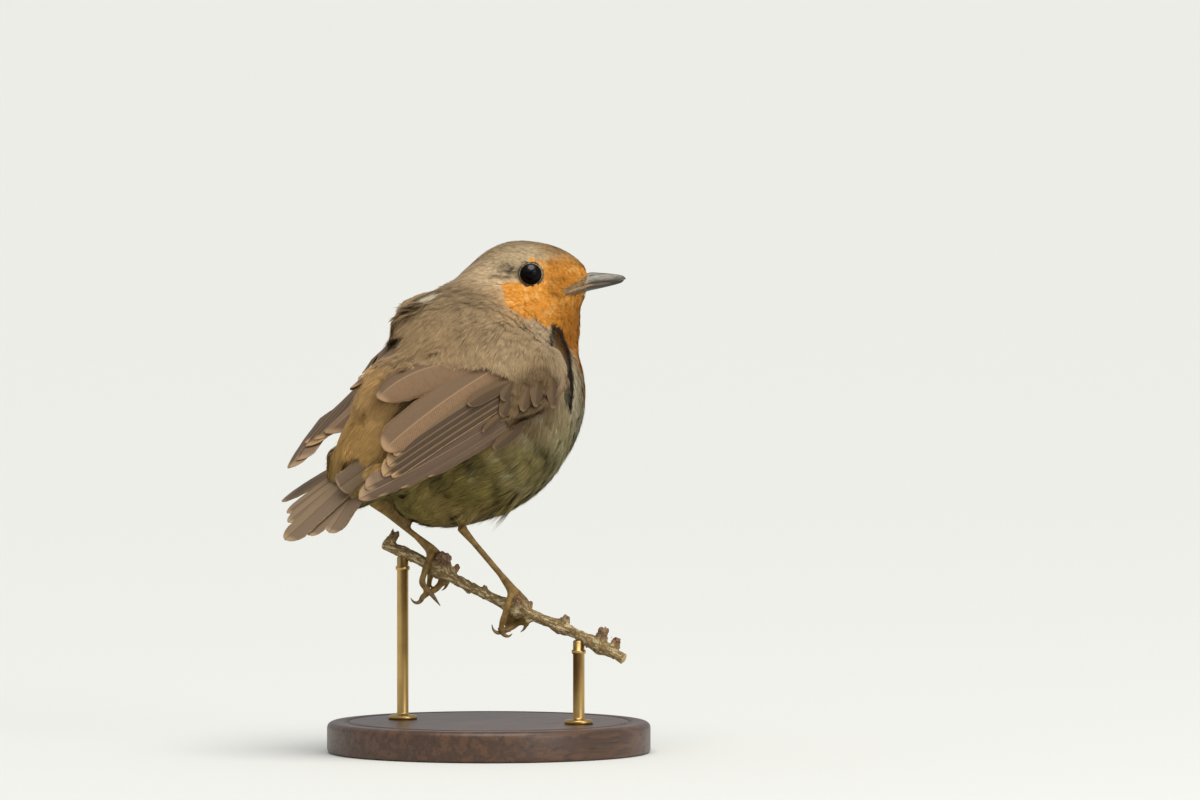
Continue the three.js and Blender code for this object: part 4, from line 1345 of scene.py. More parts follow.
def gape_ridges():
    """The soft pale corner of the mouth on each side, running back from the bill into the face."""
    bm = bmesh.new()
    for side in SIDES.values():
        rings = []
        for t in np.linspace(0, 1, 19):
            x = 10.5 + 8.8 * t
            z = mouth_at(x) - 0.35
            thick = 0.06 + 0.36 * math.sin(math.pi * min(1, 0.1 + t * 0.9)) ** 0.7
            y = side * (np.interp(x, *GAPE_LINE.T) - 0.3)
            rings.append([
                HEAD.out((x, y + thick * math.cos(a), z + thick * 0.9 * math.sin(a)))
                for a in round_angles(10)
            ])
        loft(bm, rings)
    mesh = as_mesh("gape", bm)
    store_over_mouth(mesh)
    finish = Finish("gape", 0.45, Specular_IOR_Level=0.4)
    streak = finish.noise(finish.stretched(finish.attribute("bill", "Vector"), (0.5, 2, 2)), 1.5, 3)
    finish.colour(finish.mix(streak.ease(0.3, 0.7), tint(112, 86, 54), tint(160, 132, 94)))
    finish.bump(streak, 0.08, 0.6)
    add("gape_ridges", mesh, finish)


def eye_finish():
    """A near-black eye whose clear front is bright only where the light from above meets it."""
    finish = Finish("eye", 0.3, Specular_IOR_Level=0.05, Coat_Roughness=0.09)
    ahead, _, up = finish.parts(finish.attribute("eye", "Vector"))
    from_pupil = (ahead**2 + up**2) ** 0.5
    rays = finish.noise(finish.stretched(finish.attribute("eye", "Vector"), (3.0, 3.0, 3.0)), 1.2, 4)
    iris = finish.mix(rays.ease(0.3, 0.7), tint(9, 6, 5), tint(22, 15, 11))
    finish.colour(finish.mix(from_pupil.ease(1.4, 1.75), tint(4, 3, 3), iris))
    bright = up.ease(0.5, 1.1) * (1 - ahead.ease(1.0, 1.6)) * ahead.ease(-1.4, -0.6)
    finish.set(**{"Coat Weight": 0.04 + bright * 0.6})
    return finish


def lid_finish():
    finish = Finish("eyelid", 0.55, Specular_IOR_Level=0.35)
    wrinkle = finish.noise(finish.place(), 2600, 3)
    finish.colour(finish.mix(wrinkle.ease(0.35, 0.65), tint(96, 84, 68), tint(160, 148, 128)))
    finish.bump(wrinkle, 0.08, 0.8)
    return finish


def eyeball(name, side, centre, finish):
    """A ball whose clear front bulges a little. The eye attribute holds its points, the front outermost."""
    bm = bmesh.new()
    bmesh.ops.create_uvsphere(bm, u_segments=48, v_segments=32, radius=EYE_RADIUS)
    local = []
    for vert in bm.verts:
        x, y, z = vert.co
        bulge = 1 + 0.035 * math.exp(-((x * x + y * y) / 3.2)) * (z > 0)
        spot = np.array((x, side * z, y)) * bulge
        local.append((spot[0], spot[1] * side, spot[2]))
        vert.co = Vector(HEAD.out(centre + spot))
    bmesh.ops.recalc_face_normals(bm, faces=bm.faces)
    mesh = as_mesh(f"eye_{name}", bm)
    store(mesh, "eye", "FLOAT_VECTOR", "vector", local)
    add(f"eyeball_{name}", mesh, finish, [f"eye_{name}"])


LID_OUT, LID_RADIUS, LID_STEPS = 1.5, 2.83, 64  # how far out the lid lies, its radius, and its steps round


def eyelid(name, side, centre, finish):
    """The thin bare rim round an eye, with small notches all round."""
    bm = bmesh.new()
    rings = []
    for k in range(LID_STEPS):
        turn = 2 * math.pi * k / LID_STEPS
        reach = LID_RADIUS + 0.1 * math.cos(turn) ** 2 - 0.04 * math.sin(turn)
        thick = 0.14 + 0.03 * math.sin(19 * turn)
        rings.append([
            HEAD.out(centre + (
                (reach + thick * math.cos(a)) * math.cos(turn),
                side * (LID_OUT + thick * 0.9 * math.sin(a)),
                (reach + thick * math.cos(a)) * math.sin(turn),
            ))
            for a in round_angles(8)
        ])
    ring_round(bm, rings)
    add(f"eyelid_{name}", as_mesh(f"eyelid_{name}", bm), finish)


def make_eyes():
    ball, lid = eye_finish(), lid_finish()
    for name, side in SIDES.items():
        centre = np.array((EYE_FORWARD, side * EYE_OUT, EYE_UP))
        eyeball(name, side, centre, ball)
        eyelid(name, side, centre, lid)


def ring_round(bm, rings):
    """A skin through rings of points that closes on itself."""
    segments = len(rings[0])
    profile = bmesh.ops.create_circle(bm, cap_ends=False, segments=segments, radius=1)
    for vert, point in zip(profile["verts"], rings[0]):
        vert.co = Vector(point)
    edges = list({edge for vert in profile["verts"] for edge in vert.link_edges})
    first = list(profile["verts"])
    loop, verts = edges, first
    for ring in rings[1:]:
        made = bmesh.ops.extrude_edge_only(bm, edges=loop)["geom"]
        new_verts = [g for g in made if isinstance(g, bmesh.types.BMVert)]
        loop = [g for g in made if isinstance(g, bmesh.types.BMEdge)]
        loop = [e for e in loop if all(v in new_verts for v in e.verts)]
        follows = {}
        for vert in verts:
            for edge in vert.link_edges:
                other = edge.other_vert(vert)
                if other in new_verts:
                    follows[vert] = other
        verts = [follows[vert] for vert in verts]
        for vert, point in zip(verts, ring):
            vert.co = Vector(point)
    bmesh.ops.bridge_loops(bm, edges=edges + loop)
    bmesh.ops.recalc_face_normals(bm, faces=bm.faces)


def make_claws():
    finish = Finish("claw horn", 0.4, Specular_IOR_Level=0.4)
    grainy = finish.noise(finish.place(), 1300, 3)
    finish.colour(finish.mix(grainy.ease(0.3, 0.7), tint(84, 66, 42), tint(142, 118, 74)))
    finish.bump(grainy, 0.06, 0.5)
    for side in SIDES:
        for toe, (line, claw) in TOES[side].items():
            bm = bmesh.new()
            spots, share = drawn_curve([line[-2], line[-1], *claw], 0.35)
            spots = FEET[side].out(spots)
            ways = unit(np.gradient(spots, axis=0))
            rings = []
            for spot, way, t in zip(spots, ways, share):
                aside = unit(np.cross(way, FEET[side].turn[:, 1]))
                over = np.cross(aside, way)
                thick = 0.72 * (1 - t**1.5) + 0.07
                rings.append([
                    spot + thick * (aside * math.cos(a) + over * 0.75 * math.sin(a))
                    for a in round_angles(10)
                ])
            loft(bm, rings)
            name = f"claw_{side}_{toe}"
            add(f"{name}_horn", as_mesh(name, bm), finish, [name])


# ---------- the display stand ----------
def turned_piece(name, profile, centre, finish, replaces=(), steps=64):
    """A shape turned round an upright axis from a profile of (radius, height) points, in millimetres."""
    bm = bmesh.new()
    verts = [bm.verts.new((radius, 0, height)) for radius, height in profile]
    edges = [bm.edges.new(pair) for pair in zip(verts, verts[1:])]
    bmesh.ops.spin(
        bm, geom=verts + edges, cent=(0, 0, 0), axis=(0, 0, 1), angle=2 * math.pi, steps=steps, use_merge=True
    )
    bmesh.ops.remove_doubles(bm, verts=bm.verts, dist=0.001)
    bmesh.ops.recalc_face_normals(bm, faces=bm.faces)
    bmesh.ops.translate(bm, vec=Vector(centre), verts=bm.verts)
    return add(name, as_mesh(name, bm), finish, replaces)


def arc(centre, radius, start, end, steps=6):
    return [
        (centre[0] + radius * math.cos(math.radians(a)), centre[1] + radius * math.sin(math.radians(a)))
        for a in np.linspace(start, end, steps + 1)
    ]


def wood_finish():
    finish = Finish("walnut", 0.42, Specular_IOR_Level=0.45, Coat_Weight=0.2, Coat_Roughness=0.25)
    place = finish.stretched(finish.place(), (1, 7, 7))
    figure = finish.noise(place, 26, 6, 0.6)
    pores = finish.noise(finish.stretched(finish.place(), (60, 900, 900)), 1.4, 3)
    rings = ((figure * 9) * FULL_TURN / 2).wave() * 0.5 + 0.5
    colour = finish.mix(rings * 0.55 + figure * 0.3, tint(92, 62, 40), tint(52, 33, 22))
    colour = finish.mix(pores.ease(0.55, 0.7) * 0.5, colour, tint(34, 21, 14))
    finish.colour(colour)
    finish.set(Roughness=0.36 + pores * 0.2)
    finish.bump(pores, 0.04, 0.5)
    return finish


def brass_finish():
    finish = Finish("brushed brass", 0.3, Metallic=1.0)
    brushed = finish.noise(finish.stretched(finish.place(), (900, 900, 40)), 1.0, 3)
    tarnish = finish.noise(finish.place(), 70, 4)
    finish.colour(finish.mix(tarnish.ease(0.35, 0.75) * 0.6, tint(196, 164, 104), tint(150, 116, 66)))
    finish.set(Roughness=0.26 + brushed * 0.2)
    finish.bump(brushed, 0.02, 0.4)
    return finish


def make_stand():
    wood, brass = wood_finish(), brass_finish()
    radius, height = BASE_HIGH[0], BASE_HIGH[2]
    profile = [
        (0, 0), (radius - 1.2, 0), *arc((radius - 1, 1), 1, -60, 0),
        *arc((radius - 1.6, height - 1.6), 1.6, 0, 90),
        (radius - 4.6, height), *arc((radius - 5.2, height), 0.6, 0, -180), (radius - 8, height), (0, height),
    ]
    turned_piece("stand_base_walnut", profile, (0, 0, 0), wood, ["stand_base"], 96)
    for number in (1, 2):
        node = f"stand_rod_{number}"
        low, high = corners(node)
        spot = (low + high) / 2 * (1, 1, 0)
        thick = (high[0] - low[0]) / 2
        top = high[2]
        profile = [
            (0, height), (thick + 2.2, height), *arc((thick + 1.6, height + 0.6), 0.6, 0, 90),
            (thick + 0.8, height + 1.2), *arc((thick + 0.8, height + 2.0), 0.8, 270, 180),
            (thick, top - 3.6), (thick + 0.35, top - 3.4), (thick + 0.35, top - 2.6), (thick, top - 2.4),
            (thick, top - 0.3), (thick - 0.3, top), (0, top),
        ]
        turned_piece(f"{node}_brass", profile, spot, brass, [node], 40)


# ---------- the coat ----------
TRIED = 14.0  # places tried for feathers on each square millimetre
MARCH = 6  # stations along each feather, after its root
SHOWN_FROM = 0.3  # the hidden part of a feather nearest its root is left out
ROUNDNESS = 18.0  # the body's usual radius, for feathers that wrap it


class Shell:
    """The outline at the feathers' tips, which the coat is laid along."""

    def __init__(self):
        body = swollen(rounded_out(copy_of(*FLESH[:5], *COVERTS, *FLIGHT)), JOIN)
        self.surface = Surface(melted(body, SHELL_VOXEL))
        self.surface.smooth(10, 0.6)
        self.surface.points -= self.surface.normals() * JOIN
        self.normals = self.surface.normals()
        self.face_normal = unit(self.normals[self.surface.quads].mean(axis=1))
        self.tree = searcher(self.surface.points, self.surface.quads)

    def nearest(self, points):
        """The shell's own points nearest the given ones, and the way out there."""
        spots, faces = np.empty_like(points), np.empty(len(points), int)
        for i, point in enumerate(points.tolist()):
            spot, _, face, _ = self.tree.find_nearest(point)
            spots[i] = spot
            faces[i] = face
        return spots, self.face_normal[faces]

    def scatter(self, per_mm2, chance):
        """Random points spread evenly over the shell, and the way out there."""
        a, b, c, d = (self.surface.points[self.surface.quads[:, i]] for i in range(4))
        area = np.linalg.norm(self.surface.face_normals(), axis=1) / 2
        faces = chance.choice(len(area), int(area.sum() * per_mm2), p=area / area.sum())
        u, v = chance.random((2, len(faces), 1))
        points = (a[faces] * (1 - u) + b[faces] * u) * (1 - v) + (d[faces] * (1 - u) + c[faces] * u) * v
        return points, self.face_normal[faces]


def spread_out(points, spacing):
    """Which of the points to keep, so that none is nearer another than its spacing."""
    cell = spacing.max()
    kept, cells = [], {}
    listed = points.tolist()
    steps = [(dx - 1, dy - 1, dz - 1) for dx, dy, dz in np.ndindex(3, 3, 3)]
    for i, (x, y, z) in enumerate(listed):
        a, b, c = int(x // cell), int(y // cell), int(z // cell)
        least = float(spacing[i]) ** 2
        near = (listed[j] for dx, dy, dz in steps for j in cells.get((a + dx, b + dy, c + dz), ()))
        if all((px - x) ** 2 + (py - y) ** 2 + (pz - z) ** 2 >= least for px, py, pz in near):
            kept.append(i)
            cells.setdefault((a, b, c), []).append(i)
    return np.array(kept)


def wing_place(points, side):
    """Points in a folded wing's own measures: along it, up across it and off it."""
    flat = TRUNK.into(points) * (1, -side, 1) - WRIST
    return flat @ WING_BACK, flat @ WING_UP, flat @ WING_OUT


def tail_place(points):
    return (points - TAIL_ROOT) @ TAIL_TURN * (-1, 1, 1)


# Where the wing's own feathers lie open to view, along it and up across it.
OPEN_VANES = [
    (17, 4), (22.2, 10.4), (26, 13.0), (31, 16.8), (36, 20.8), (40, 22.2), (46, 21.6), (52, 18.4), (58, 10),
    (63, 3.5), (71, -1), (67, -4.6), (47, -7.8), (30, -8), (24, -6.2), (21.5, -3), (19, 1),
]


def beside_wing(points, side):
    """Whether each point lies on a wing's side of the back, whose feathers lie over the left one more."""
    return TRUNK.into(points)[:, 1] * side > (4 if side < 0 else 12)


def grows(points):
    """Whether a soft feather has its root at each point: not on eyes, bill or bare legs."""
    head = HEAD.into(points)
    fine = legness(points) < 0.35
    return fine & (eye_gaps(points)[0] > EYE_RIM) & (outside_bill(head) > 0.25) & (slit_gaps(points)[0] > 0.9)


def outside_bill(head):
    """How far outside the bill and its gape each point lies, seen from the side, in the head's own axes."""
    return outside_of(BILL_EDGE, head[:, [0, 2]])


def clear_stations(stations):
    """Which of each feather's stations keep off the vanes, the bill, the eyes, the slits and the tail."""
    points = stations.reshape(-1, 3)
    clear = np.ones(len(points), bool)
    for side in SIDES.values():
        along, up, off = wing_place(points, side)
        over = outside_of(OPEN_VANES, np.column_stack((along, up))) < -0.5
        low_edge = (up < 2.5) | ((along > 43) & (side > 0))
        beside = beside_wing(points, side)
        clear &= ~(over & (off > np.where(low_edge, -2.5, 0.6)) & beside)
        clear &= ~((lobe_gaps(along, up) < -0.5) & (off > -1) & beside)
        if side > 0:
            clear &= ~((along > 29) & (off > -3.5) & (np.abs(up) < 26) & (TRUNK.into(points)[:, 1] > 4))
    back, aside, off = tail_place(points).T
    clear &= ~((back > 13.6 - 0.015 * aside**2) & (off > -1.5)) & (back < 17)
    clear &= slit_gaps(points)[0] > 0.75
    on_rump = TRUNK.into(points) - RUMP_ROOT
    along, up, off = (on_rump @ way for way in (RUMP_ALONG, RUMP_ACROSS, RUMP_OUT))
    clear &= ~((along > 3.2) & (along < 13) & (np.abs(up) < 4) & (off > -1.2))
    clear = clear.reshape(stations.shape[:2])
    clear[:, :2] = True
    bare = (eye_gaps(points)[0] < EYE_RIM - 0.03) | (outside_bill(HEAD.into(points)) < 0.05)
    return clear & ~bare.reshape(clear.shape)


# Locks that stand off the coat: where, from the trunk's middle, the way that their tips go, how far the
# patch reaches, and how far the tips go as a share of a feather's length.
STRAYS = [
    ((-0.8, -20.8, -13.6), (-0.1, -0.3, -0.9), 3.0, 0.75),
    (WHITE_SPOT, (-0.4, 0.1, 0.9), 3.2, 0.5),
    ((-30, -1, 20), (-0.2, -0.2, 0.4), 5.0, 0.14),
]


class Coat:
    """Every soft feather's line along the shell, and its sizes."""

    def __init__(self, shell, seed):
        chance = np.random.default_rng(seed)
        points, normals = shell.scatter(TRIED, chance)
        by_eye = 1 - ease(eye_gaps(points)[0], 3.2, 7)
        keep = spread_out(points, blended(points, [SPACING])[:, 0] * (1 - 0.35 * by_eye))
        keep = keep[grows(points[keep])]
        self.roots, self.root_normals = points[keep], normals[keep]
        self.sizes(blended(self.roots, [DEPTH, LENGTH, HALF_WIDTH, HAIR]).T)
        self.length *= 1 - 0.5 * by_eye[keep]
        self.half_width *= 1 - 0.45 * by_eye[keep]
        self.depth *= 1 - 0.4 * by_eye[keep]
        self.length *= np.clip(chance.normal(1, 0.12, len(keep)), 0.7, 1.35)
        self.half_width *= np.clip(chance.normal(1, 0.12, len(keep)), 0.7, 1.35)
        self.nodes, self.outs, self.ways = self.march(shell, chance)
        self.trim()
        for spot, way, reach, share in STRAYS:
            self.let_loose(spot, way, reach, share, chance)

    def sizes(self, rows):
        self.depth, self.length, self.half_width, self.hair = rows

    def only(self, kept):
        self.roots, self.root_normals = self.roots[kept], self.root_normals[kept]
        self.sizes([self.depth[kept], self.length[kept], self.half_width[kept], self.hair[kept]])
        self.nodes, self.outs, self.ways = self.nodes[kept], self.outs[kept], self.ways[kept]

    def trim(self):
        """Ends each feather short of what it must keep off, and drops those with too little left."""
        blocked = ~clear_stations(self.nodes)
        first = np.where(blocked.any(axis=1), blocked.argmax(axis=1), MARCH + 1)
        share = (first - 1) / MARCH
        self.only(share >= 0.5)
        share = share[share >= 0.5]
        self.length *= share
        station = np.clip(np.linspace(0, MARCH, MARCH + 1) * share[:, None], 0, MARCH - 1e-4)
        low = station.astype(int)
        part = (station - low)[..., None]
        row = np.arange(len(share))[:, None]
        self.nodes, outs, ways = (
            held[row, low] * (1 - part) + held[row, low + 1] * part
            for held in (self.nodes, self.outs, self.ways)
        )
        self.outs, self.ways = unit(outs), unit(ways)

    def let_loose(self, spot, way, reach, share, chance):
        """Turns the feathers round a spot off the coat, so that they hang or stand free of it."""
        near = np.linalg.norm(TRUNK.into(self.roots) - spot, axis=1)
        held = share * (1 - ease(near, 0.4 * reach, reach)) * chance.uniform(0.5, 1, len(near))
        along = np.linspace(0, 1, MARCH + 1)[None, :, None] ** 1.5
        free = (TRUNK.turn @ np.array(way)) * (self.length[:, None] * along[..., 0])[..., None]
        self.nodes = self.nodes + free * held[:, None, None]

    def along(self, tuft, share):
        """Places at a share of the way along the given feathers, the way out there and the way on."""
        station = np.clip(share, 0, 0.9999) * MARCH
        low = station.astype(int)
        part = (station - low + np.maximum(share - 0.9999, 0) * MARCH)[..., None]
        at, after = (tuft[:, None], low), (tuft[:, None], low + 1)
        spot, out, way = (
            held[at] * (1 - part) + held[after] * part for held in (self.nodes, self.outs, self.ways)
        )
        out = unit(out)
        return spot, out, across_grid(way, out)

    def march(self, shell, chance):
        """Each feather's stations, laid along the shell the way that the plumage lies."""
        spots, outs = self.roots.copy(), self.root_normals.copy()
        swirl = (grain(self.roots, 5.0, 21) - 0.5) * 0.55 + (grain(self.roots, 1.8, 22) - 0.5) * 0.4
        swirl += (grain(self.roots, 3.2, 23) - 0.5) * 1.1 * ease(self.hair, 0.86, 0.96)
        swirl += chance.normal(0, 0.09, len(spots))
        nodes, normals, ways = [spots], [outs], []
        heading = None
        for _ in range(MARCH):
            fresh = lie(spots, outs)
            heading = fresh if heading is None else across(0.5 * heading + 0.5 * fresh, outs)
            turned_way = heading * np.cos(swirl)[:, None] + np.cross(outs, heading) * np.sin(swirl)[:, None]
            ways.append(turned_way)
            ahead = spots + turned_way * (self.length / MARCH)[:, None]
            near, fresh_outs = shell.nearest(ahead)
            outs = unit(outs * 0.5 + fresh_outs * 0.5)
            # A feather leaves a surface that turns away too fast, and goes straight on over it.
            loose = np.clip(0.25 * np.linalg.norm(ahead - near, axis=1), 0, 0.8)
            spots = near + (ahead - near) * loose[:, None]
            nodes.append(spots)
            normals.append(outs)
        ways.append(ways[-1])
        return np.stack(nodes, 1), np.stack(normals, 1), np.stack(ways, 1)


def unwrapped(points, centre):
    """Flat places for points round a centre, as on an unfolded eight-sided ball, from 0 to 1 each way."""
    way = points - centre
    way = way / np.abs(way).sum(1, keepdims=True)
    folded = (1 - np.abs(way[:, [1, 0]])) * np.where(way[:, :2] >= 0, 1, -1)
    return np.where(way[:, 2:3] >= 0, way[:, :2], folded) / 2 + 0.5


PATCH = 0.003  # how wide each tuft's patch is on the map
# Where along a strand its four points lie, and how wide it is there.
STRAND_ALONG = np.array((0, 0.5, 0.5, 1.0))
STRAND_WIDE = np.array((0, 1, -1, 0.0))
STRAND_FACES = np.array((0, 2, 1, 1, 2, 3))


def strand_spans(barbs, hair, half_width, chance):
    """Where along its feather each strand starts and ends, and how far from the shaft it spreads."""
    total = len(hair)
    number = np.tile(np.arange(barbs), total // barbs)
    side = np.where(number % 2 == 0, 1.0, -1.0)
    order = (number + 0.5) / barbs
    end = 0.5 + (0.5 + 0.05 * hair) * order**0.8 + chance.uniform(-0.08, 0.04, total)
    start = np.maximum(end - 0.3 - 0.2 * hair - chance.uniform(0, 0.12, total), SHOWN_FROM - 0.1)
    outline = np.sqrt(np.clip(1 - ((end - 0.5) / 0.6) ** 2 * (end > 0.5), 0.02, 1))
    return start, end, side * half_width * outline * chance.random(total) ** 0.8


def strand_mesh(name, points):
    """Strands of four points each as a mesh, and the point at each of its faces' corners."""
    total, corners_each = points.shape[:2]
    mesh = bpy.data.meshes.new(name)
    mesh.vertices.add(total * corners_each)
    mesh.vertices.foreach_set("co", (points * MM).astype(np.float32).ravel())
    loops = (np.arange(total)[:, None] * corners_each + STRAND_FACES).ravel()
    mesh.loops.add(len(loops))
    mesh.loops.foreach_set("vertex_index", loops.astype(np.int32))
    mesh.polygons.add(total * 2)
    mesh.polygons.foreach_set("loop_start", np.arange(0, total * 6, 3, dtype=np.int32))
    mesh.update(calc_edges=True)
    return mesh, loops


def tuft_map(mesh, loops, roots, own, patch):
    """Writes the map on which each tuft is a small patch at its root's place on the unfolded skin."""
    low, high = roots.min(0), roots.max(0)
    roots = 0.01 + 0.98 * (roots - low) / (high - low)
    patch = np.clip(patch, -1, 1) * PATCH / 2
    flat = (roots[own][:, None, :] + patch).reshape(-1, 2)[loops]
    mesh.uv_layers.new(name="OFBake").data.foreach_set("uv", flat.astype(np.float32).ravel())


def grow(name, coat, where, barbs, thick, finish, marks, centre):
    """Feathers of a coat as one piece. Each has barbs strands of the given thickness that leave its shaft and
    end on a rounded outline; marks gives each strand's lightness from where it is, with painted shade in
    gaps, and how far it sinks."""
    chance = np.random.default_rng(len(name) * 7 + barbs)
    chosen = np.nonzero(where)[0]
    count = len(chosen)
    own = np.repeat(np.arange(count), barbs)
    total = len(own)
    tuft = chosen[own]
    hair, half_width, length = coat.hair[tuft], coat.half_width[tuft], coat.length[tuft]
    start, end, spread = strand_spans(barbs, hair, half_width, chance)
    from_shaft = 0.45 * spread
    s = start[:, None] + (end - start)[:, None] * STRAND_ALONG
    u = from_shaft[:, None] + (spread - from_shaft)[:, None] * (1 - (1 - STRAND_ALONG) ** 1.4)
    spot, out, way = coat.along(tuft, s)
    beside = np.cross(out, way)
    depth = coat.depth[tuft][:, None]
    lift = (chance.normal(0, 0.1, count)[own] + chance.normal(0, 0.06, total))[:, None]
    lift = lift * np.clip(length / 7, 0.4, 1)[:, None]
    wisp = (chance.random(total) < 0.07 * (hair - 0.4)) * chance.uniform(0.2, 1.0, total) * length / 9
    height = -depth * (1 - np.clip(s, 0, 1)) ** 1.7 + lift * (0.3 + 0.7 * s)
    height = height + wisp[:, None] * STRAND_ALONG**2 * 0.9
    spread_angle = np.arctan2((spread - from_shaft) * 1.2, (end - start) * length)[:, None, None]
    width_way = beside * np.cos(spread_angle) - way * np.sin(spread_angle)
    width = thick * chance.uniform(0.7, 1.3, total)[:, None] * STRAND_WIDE
    middles = spot + beside * u[..., None] + out * (height - u**2 / (2 * ROUNDNESS))[..., None]
    lightness, sunk = marks(middles[:, 2], hair)
    points = middles + width_way * width[..., None] - out * (sunk[:, None] * (0.3 + 0.7 * s))[..., None]
    ruffle = chance.normal(0, 0.09, (2, count))[:, own][:, :, None, None]
    u_share = u / half_width[:, None]
    tilt = beside * (ruffle[0] + 0.12 * u_share[..., None]) + way * (ruffle[1] - 0.06)
    tone = chance.normal(1, 0.04, count)[own] * chance.normal(1, 0.06, total) * lightness
    # Painted light: strands that stand off the coat are made lighter, as if lit through.
    tone = np.clip(tone * (1 + 0.3 * (wisp > 0)), 0.25, 1.8)
    # Painted shade: each strand is darker towards its root, where the feathers above it would shade it.
    shaded_root = 0.89 + 0.14 * ease(s, SHOWN_FROM, 0.85)
    shown = plumage(middles[:, 3])[:, None, :] * tone[:, None, None] * shaded_root[..., None]
    mesh, loops = strand_mesh(name, points)
    store(mesh, "plumage", "FLOAT_COLOR", "color", with_alpha(shown.reshape(-1, 3)))
    roots = unwrapped(coat.roots[chosen], centre)
    tuft_map(mesh, loops, roots, own, np.stack((u_share, 2 * s - 1), -1))
    add(name, mesh, finish)
    mesh.normals_split_custom_set_from_vertices(unit(out + tilt).reshape(-1, 3).astype(np.float32))


def across_grid(vectors, normals):
    return unit(vectors - np.sum(vectors * normals, axis=-1, keepdims=True) * normals)


def coat_finish():
    finish = Finish("plumage", 0.75, Specular_IOR_Level=0.15)
    down = finish.attribute("plumage", "Color")
    light = 0.95 + finish.noise(finish.place(), 5200, 3) * 0.1
    brightness = finish.node("ShaderNodeCombineColor", inputs={0: light, 1: light, 2: light})
    finish.colour(finish.mix(1.0, down, brightness, "MULTIPLY"))
    return finish


def streaks(points, seed, size=0.55):
    """Lightness that wanders from strand to strand, by a little at every size."""
    fine = grain(points, size, seed) - 0.5
    wide = grain(points, 4.5, seed + 1) - 0.5
    return 1 + 0.2 * fine + 0.1 * wide


def soft_marks(points, hair):
    return streaks(points, 51), 0 * hair


def crown_marks(points, hair):
    """Fine dark flecks, drawn out the way that the crown's feathers lie."""
    head = HEAD.into(points)
    flecks = ease(grain(head * (0.45, 1, 1), 0.5, 61), 0.58, 0.82)
    return streaks(points, 62) * (1 - 0.3 * flecks), 0 * hair


def face_marks(points, hair):
    head = HEAD.into(points)
    # Painted shade in the gaps between the face's feathers, which also sink a little there.
    shaded_gaps = ease(grain(head * (0.6, 1, 1), 0.9, 71), 0.6, 0.9)
    return streaks(points, 72, 0.6) * (1 - 0.16 * shaded_gaps), 0.08 * shaded_gaps


def flank_marks(points, hair):
    """Loose feathers part in clumps, with painted shade in the gaps between pale locks."""
    spots = TRUNK.into(points)
    drawn = spots @ FLANK_TURN * (0.3, 1, 1)
    shaded_gaps = 1 - ease(grain(drawn, 1.5, 31) * 0.65 + grain(drawn, 0.7, 32) * 0.35, 0.3, 0.52)
    locks = ease(grain(drawn, 0.5, 33), 0.55, 0.85)
    loose = ease(hair, 0.6, 0.9)
    shaded_gaps = shaded_gaps * loose
    clumps = 1 + 0.45 * loose * (grain(drawn, 2.6, 35) - 0.5)
    return streaks(points, 34) * (1 - 0.58 * shaded_gaps) * (1 + 0.4 * locks * loose) * clumps, 1.0 * shaded_gaps


def make_coat():
    coat = Coat(Shell(), 5)
    head, trunk = HEAD.into(coat.roots), TRUNK.into(coat.roots)
    on_head = (trunk[:, 2] > 26) & (head[:, 0] > -15)
    face = on_head & (head[:, 0] > -4.5) & (head[:, 2] < 7.5)
    crown = on_head & ~face
    under = trunk[:, 2] < -7
    front = ~on_head & (trunk[:, 0] > 12) & ~under
    on_wing = np.zeros(len(trunk), bool)
    for side in SIDES.values():
        along, up, off = wing_place(coat.roots, side)
        over = (off > -3) & (up > -9) & (up < 14) & (along > -5) & (along < 34)
        on_wing |= over & beside_wing(coat.roots, side)
    shoulder = on_wing & ~on_head & ~under & ~front
    flank = ~(on_head | front | shoulder) & (trunk[:, 2] < 1) & (trunk[:, 0] > -26)
    rear = ~(on_head | front | shoulder | flank) & ((trunk[:, 0] < -24) | (trunk[:, 2] < -4))
    mantle = ~(on_head | front | shoulder | flank | rear)
    left = trunk[:, 1] > 0
    finish = coat_finish()
    parts = [
        ("coat_face", face, 46, 0.07, face_marks, HEAD.centre),
        ("coat_crown", crown, 44, 0.062, crown_marks, HEAD.centre),
        ("coat_breast", front, 44, 0.075, soft_marks, TRUNK.centre),
        ("coat_mantle", mantle, 48, 0.075, soft_marks, TRUNK.centre),
        ("coat_shoulder_left", shoulder & left, 46, 0.075, soft_marks, TRUNK.centre),
        ("coat_shoulder_right", shoulder & ~left, 46, 0.075, soft_marks, TRUNK.centre),
        ("coat_rump", rear, 48, 0.07, soft_marks, TRUNK.centre),
        ("coat_flank_left", flank & left, 48, 0.08, flank_marks, TRUNK.centre),
        ("coat_flank_right", flank & ~left, 48, 0.08, flank_marks, TRUNK.centre),
    ]
    for name, where, barbs, thick, marks, centre in parts:
        grow(name, coat, where, barbs, thick, finish, marks, centre)


# ---------- the studio ----------
def aim(thing, spot):
    thing.rotation_mode = "QUATERNION"
    thing.rotation_quaternion = (Vector(spot) - thing.location).to_track_quat("-Z", "Y")


def lamp(name, kind, way, distance, energy, size, colour, spot):
    light = bpy.data.lights.new(name, kind)
    light.energy = energy
    light.color = colour
    if kind == "SUN":
        light.angle = size
    else:
        light.shape = "DISK"
        light.size = size
    made = bpy.data.objects.new(name, light)
    made.location = Vector(spot) + Vector(way).normalized() * distance
    bpy.context.scene.collection.objects.link(made)
    aim(made, spot)


VIEW_AZIMUTH = math.radians(-47)
VIEW_ELEVATION = math.radians(2.5)
VIEW_DISTANCE = 3.463
VIEW_LENS = 400
VIEW_RIGHT, VIEW_UP = 31.2, 5.2  # the view's middle from the trunk's, in millimetres


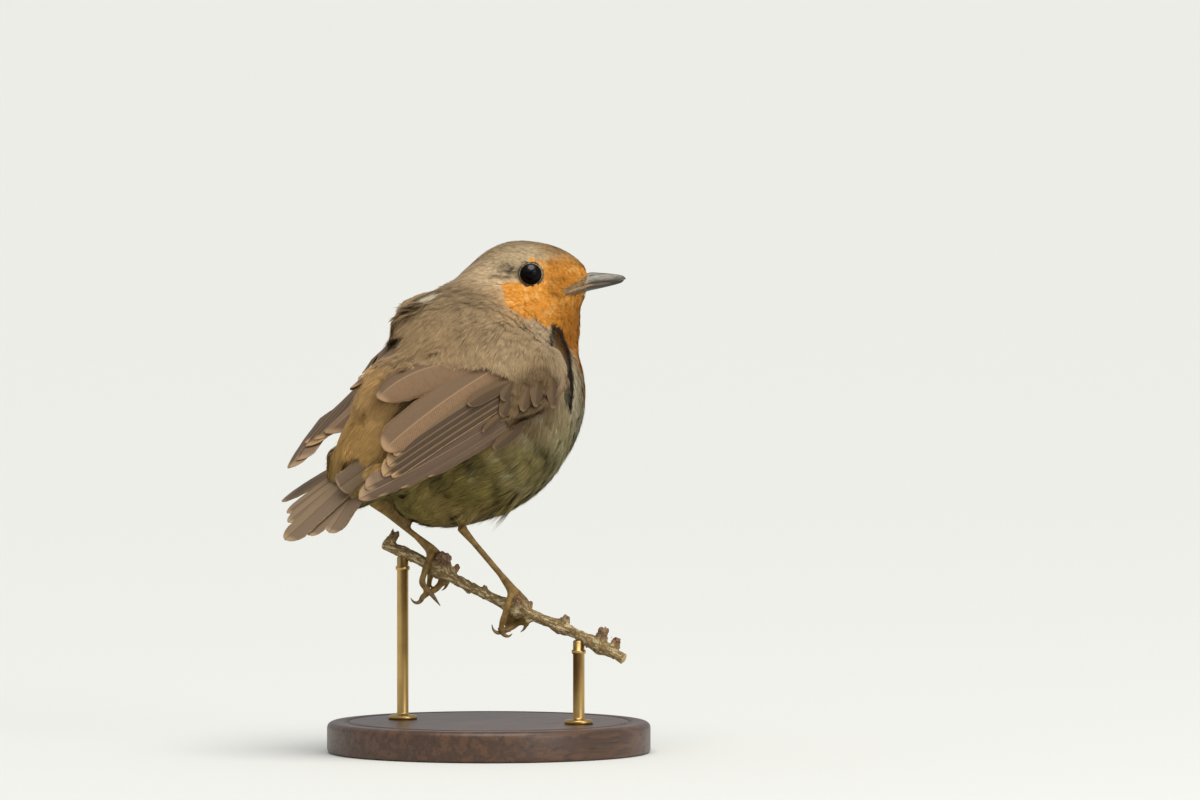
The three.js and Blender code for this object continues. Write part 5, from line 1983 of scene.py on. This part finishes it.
def studio_floor():
    bm = bmesh.new()
    bmesh.ops.create_circle(bm, cap_ends=True, segments=64, radius=60 / MM)
    floor = bpy.data.objects.new("studio_floor", as_mesh("studio_floor", bm))
    bpy.context.scene.collection.objects.link(floor)
    paper = Finish("pale paper", 0.9, Specular_IOR_Level=0.1)
    tooth = paper.noise(paper.place(), 900, 3)
    paper.colour(paper.mix(tooth, tint(216, 217, 212), tint(222, 222, 218)))
    floor.data.materials.append(paper.material)


def studio_sky():
    world = bpy.data.worlds.new("studio")
    bpy.context.scene.world = world
    world.use_nodes = True
    sky = world.node_tree.nodes["Background"]
    sky.inputs["Color"].default_value = (0.93, 0.97, 1.0, 1)
    sky.inputs["Strength"].default_value = 0.55


def studio():
    """The floor, the light and the camera, which stands behind the bird on its right."""
    studio_floor()
    studio_sky()
    right = np.array((math.cos(VIEW_AZIMUTH), math.sin(VIEW_AZIMUTH), 0))
    away = np.array((-right[1], right[0], 0))
    upward = np.array((0, 0, 1))
    toward_camera = away * -math.cos(VIEW_ELEVATION) + upward * math.sin(VIEW_ELEVATION)
    look_at = (TRUNK.centre + right * VIEW_RIGHT + np.cross(right, -toward_camera) * VIEW_UP) * MM
    bird = TRUNK.centre * MM
    from_above = upward + 0.35 * toward_camera + 0.06 * right
    from_right = 0.3 * upward + toward_camera + 0.9 * right
    lamp("key", "SUN", from_above, 2, 2.3, math.radians(50), (1, 0.97, 0.92), bird)
    lamp("fill", "AREA", from_right, 1.4, 6, 0.9, (1, 0.98, 0.95), bird)
    camera = bpy.data.objects.new("camera", bpy.data.cameras.new("camera"))
    bpy.context.scene.collection.objects.link(camera)
    camera.data.lens = VIEW_LENS
    camera.data.sensor_width = 36
    camera.data.clip_end = 200
    camera.location = look_at + toward_camera * VIEW_DISTANCE
    aim(camera, look_at)
    bpy.context.scene.camera = camera
    bpy.context.scene.view_settings.view_transform = "Standard"


make_skin()
for side_name, side in SIDES.items():
    wing_feathers(side_name, side)
tail_feathers()
UPPER = bill_finish("upper bill", True)
LOWER = bill_finish("lower bill", False)
mandible("bill_upper", 1, bill_length("bill_upper"), UPPER)
mandible("bill_lower", -1, bill_length("bill_lower"), LOWER)
gape_ridges()
make_eyes()
make_claws()
make_perch()
make_stand()
make_coat()
studio()
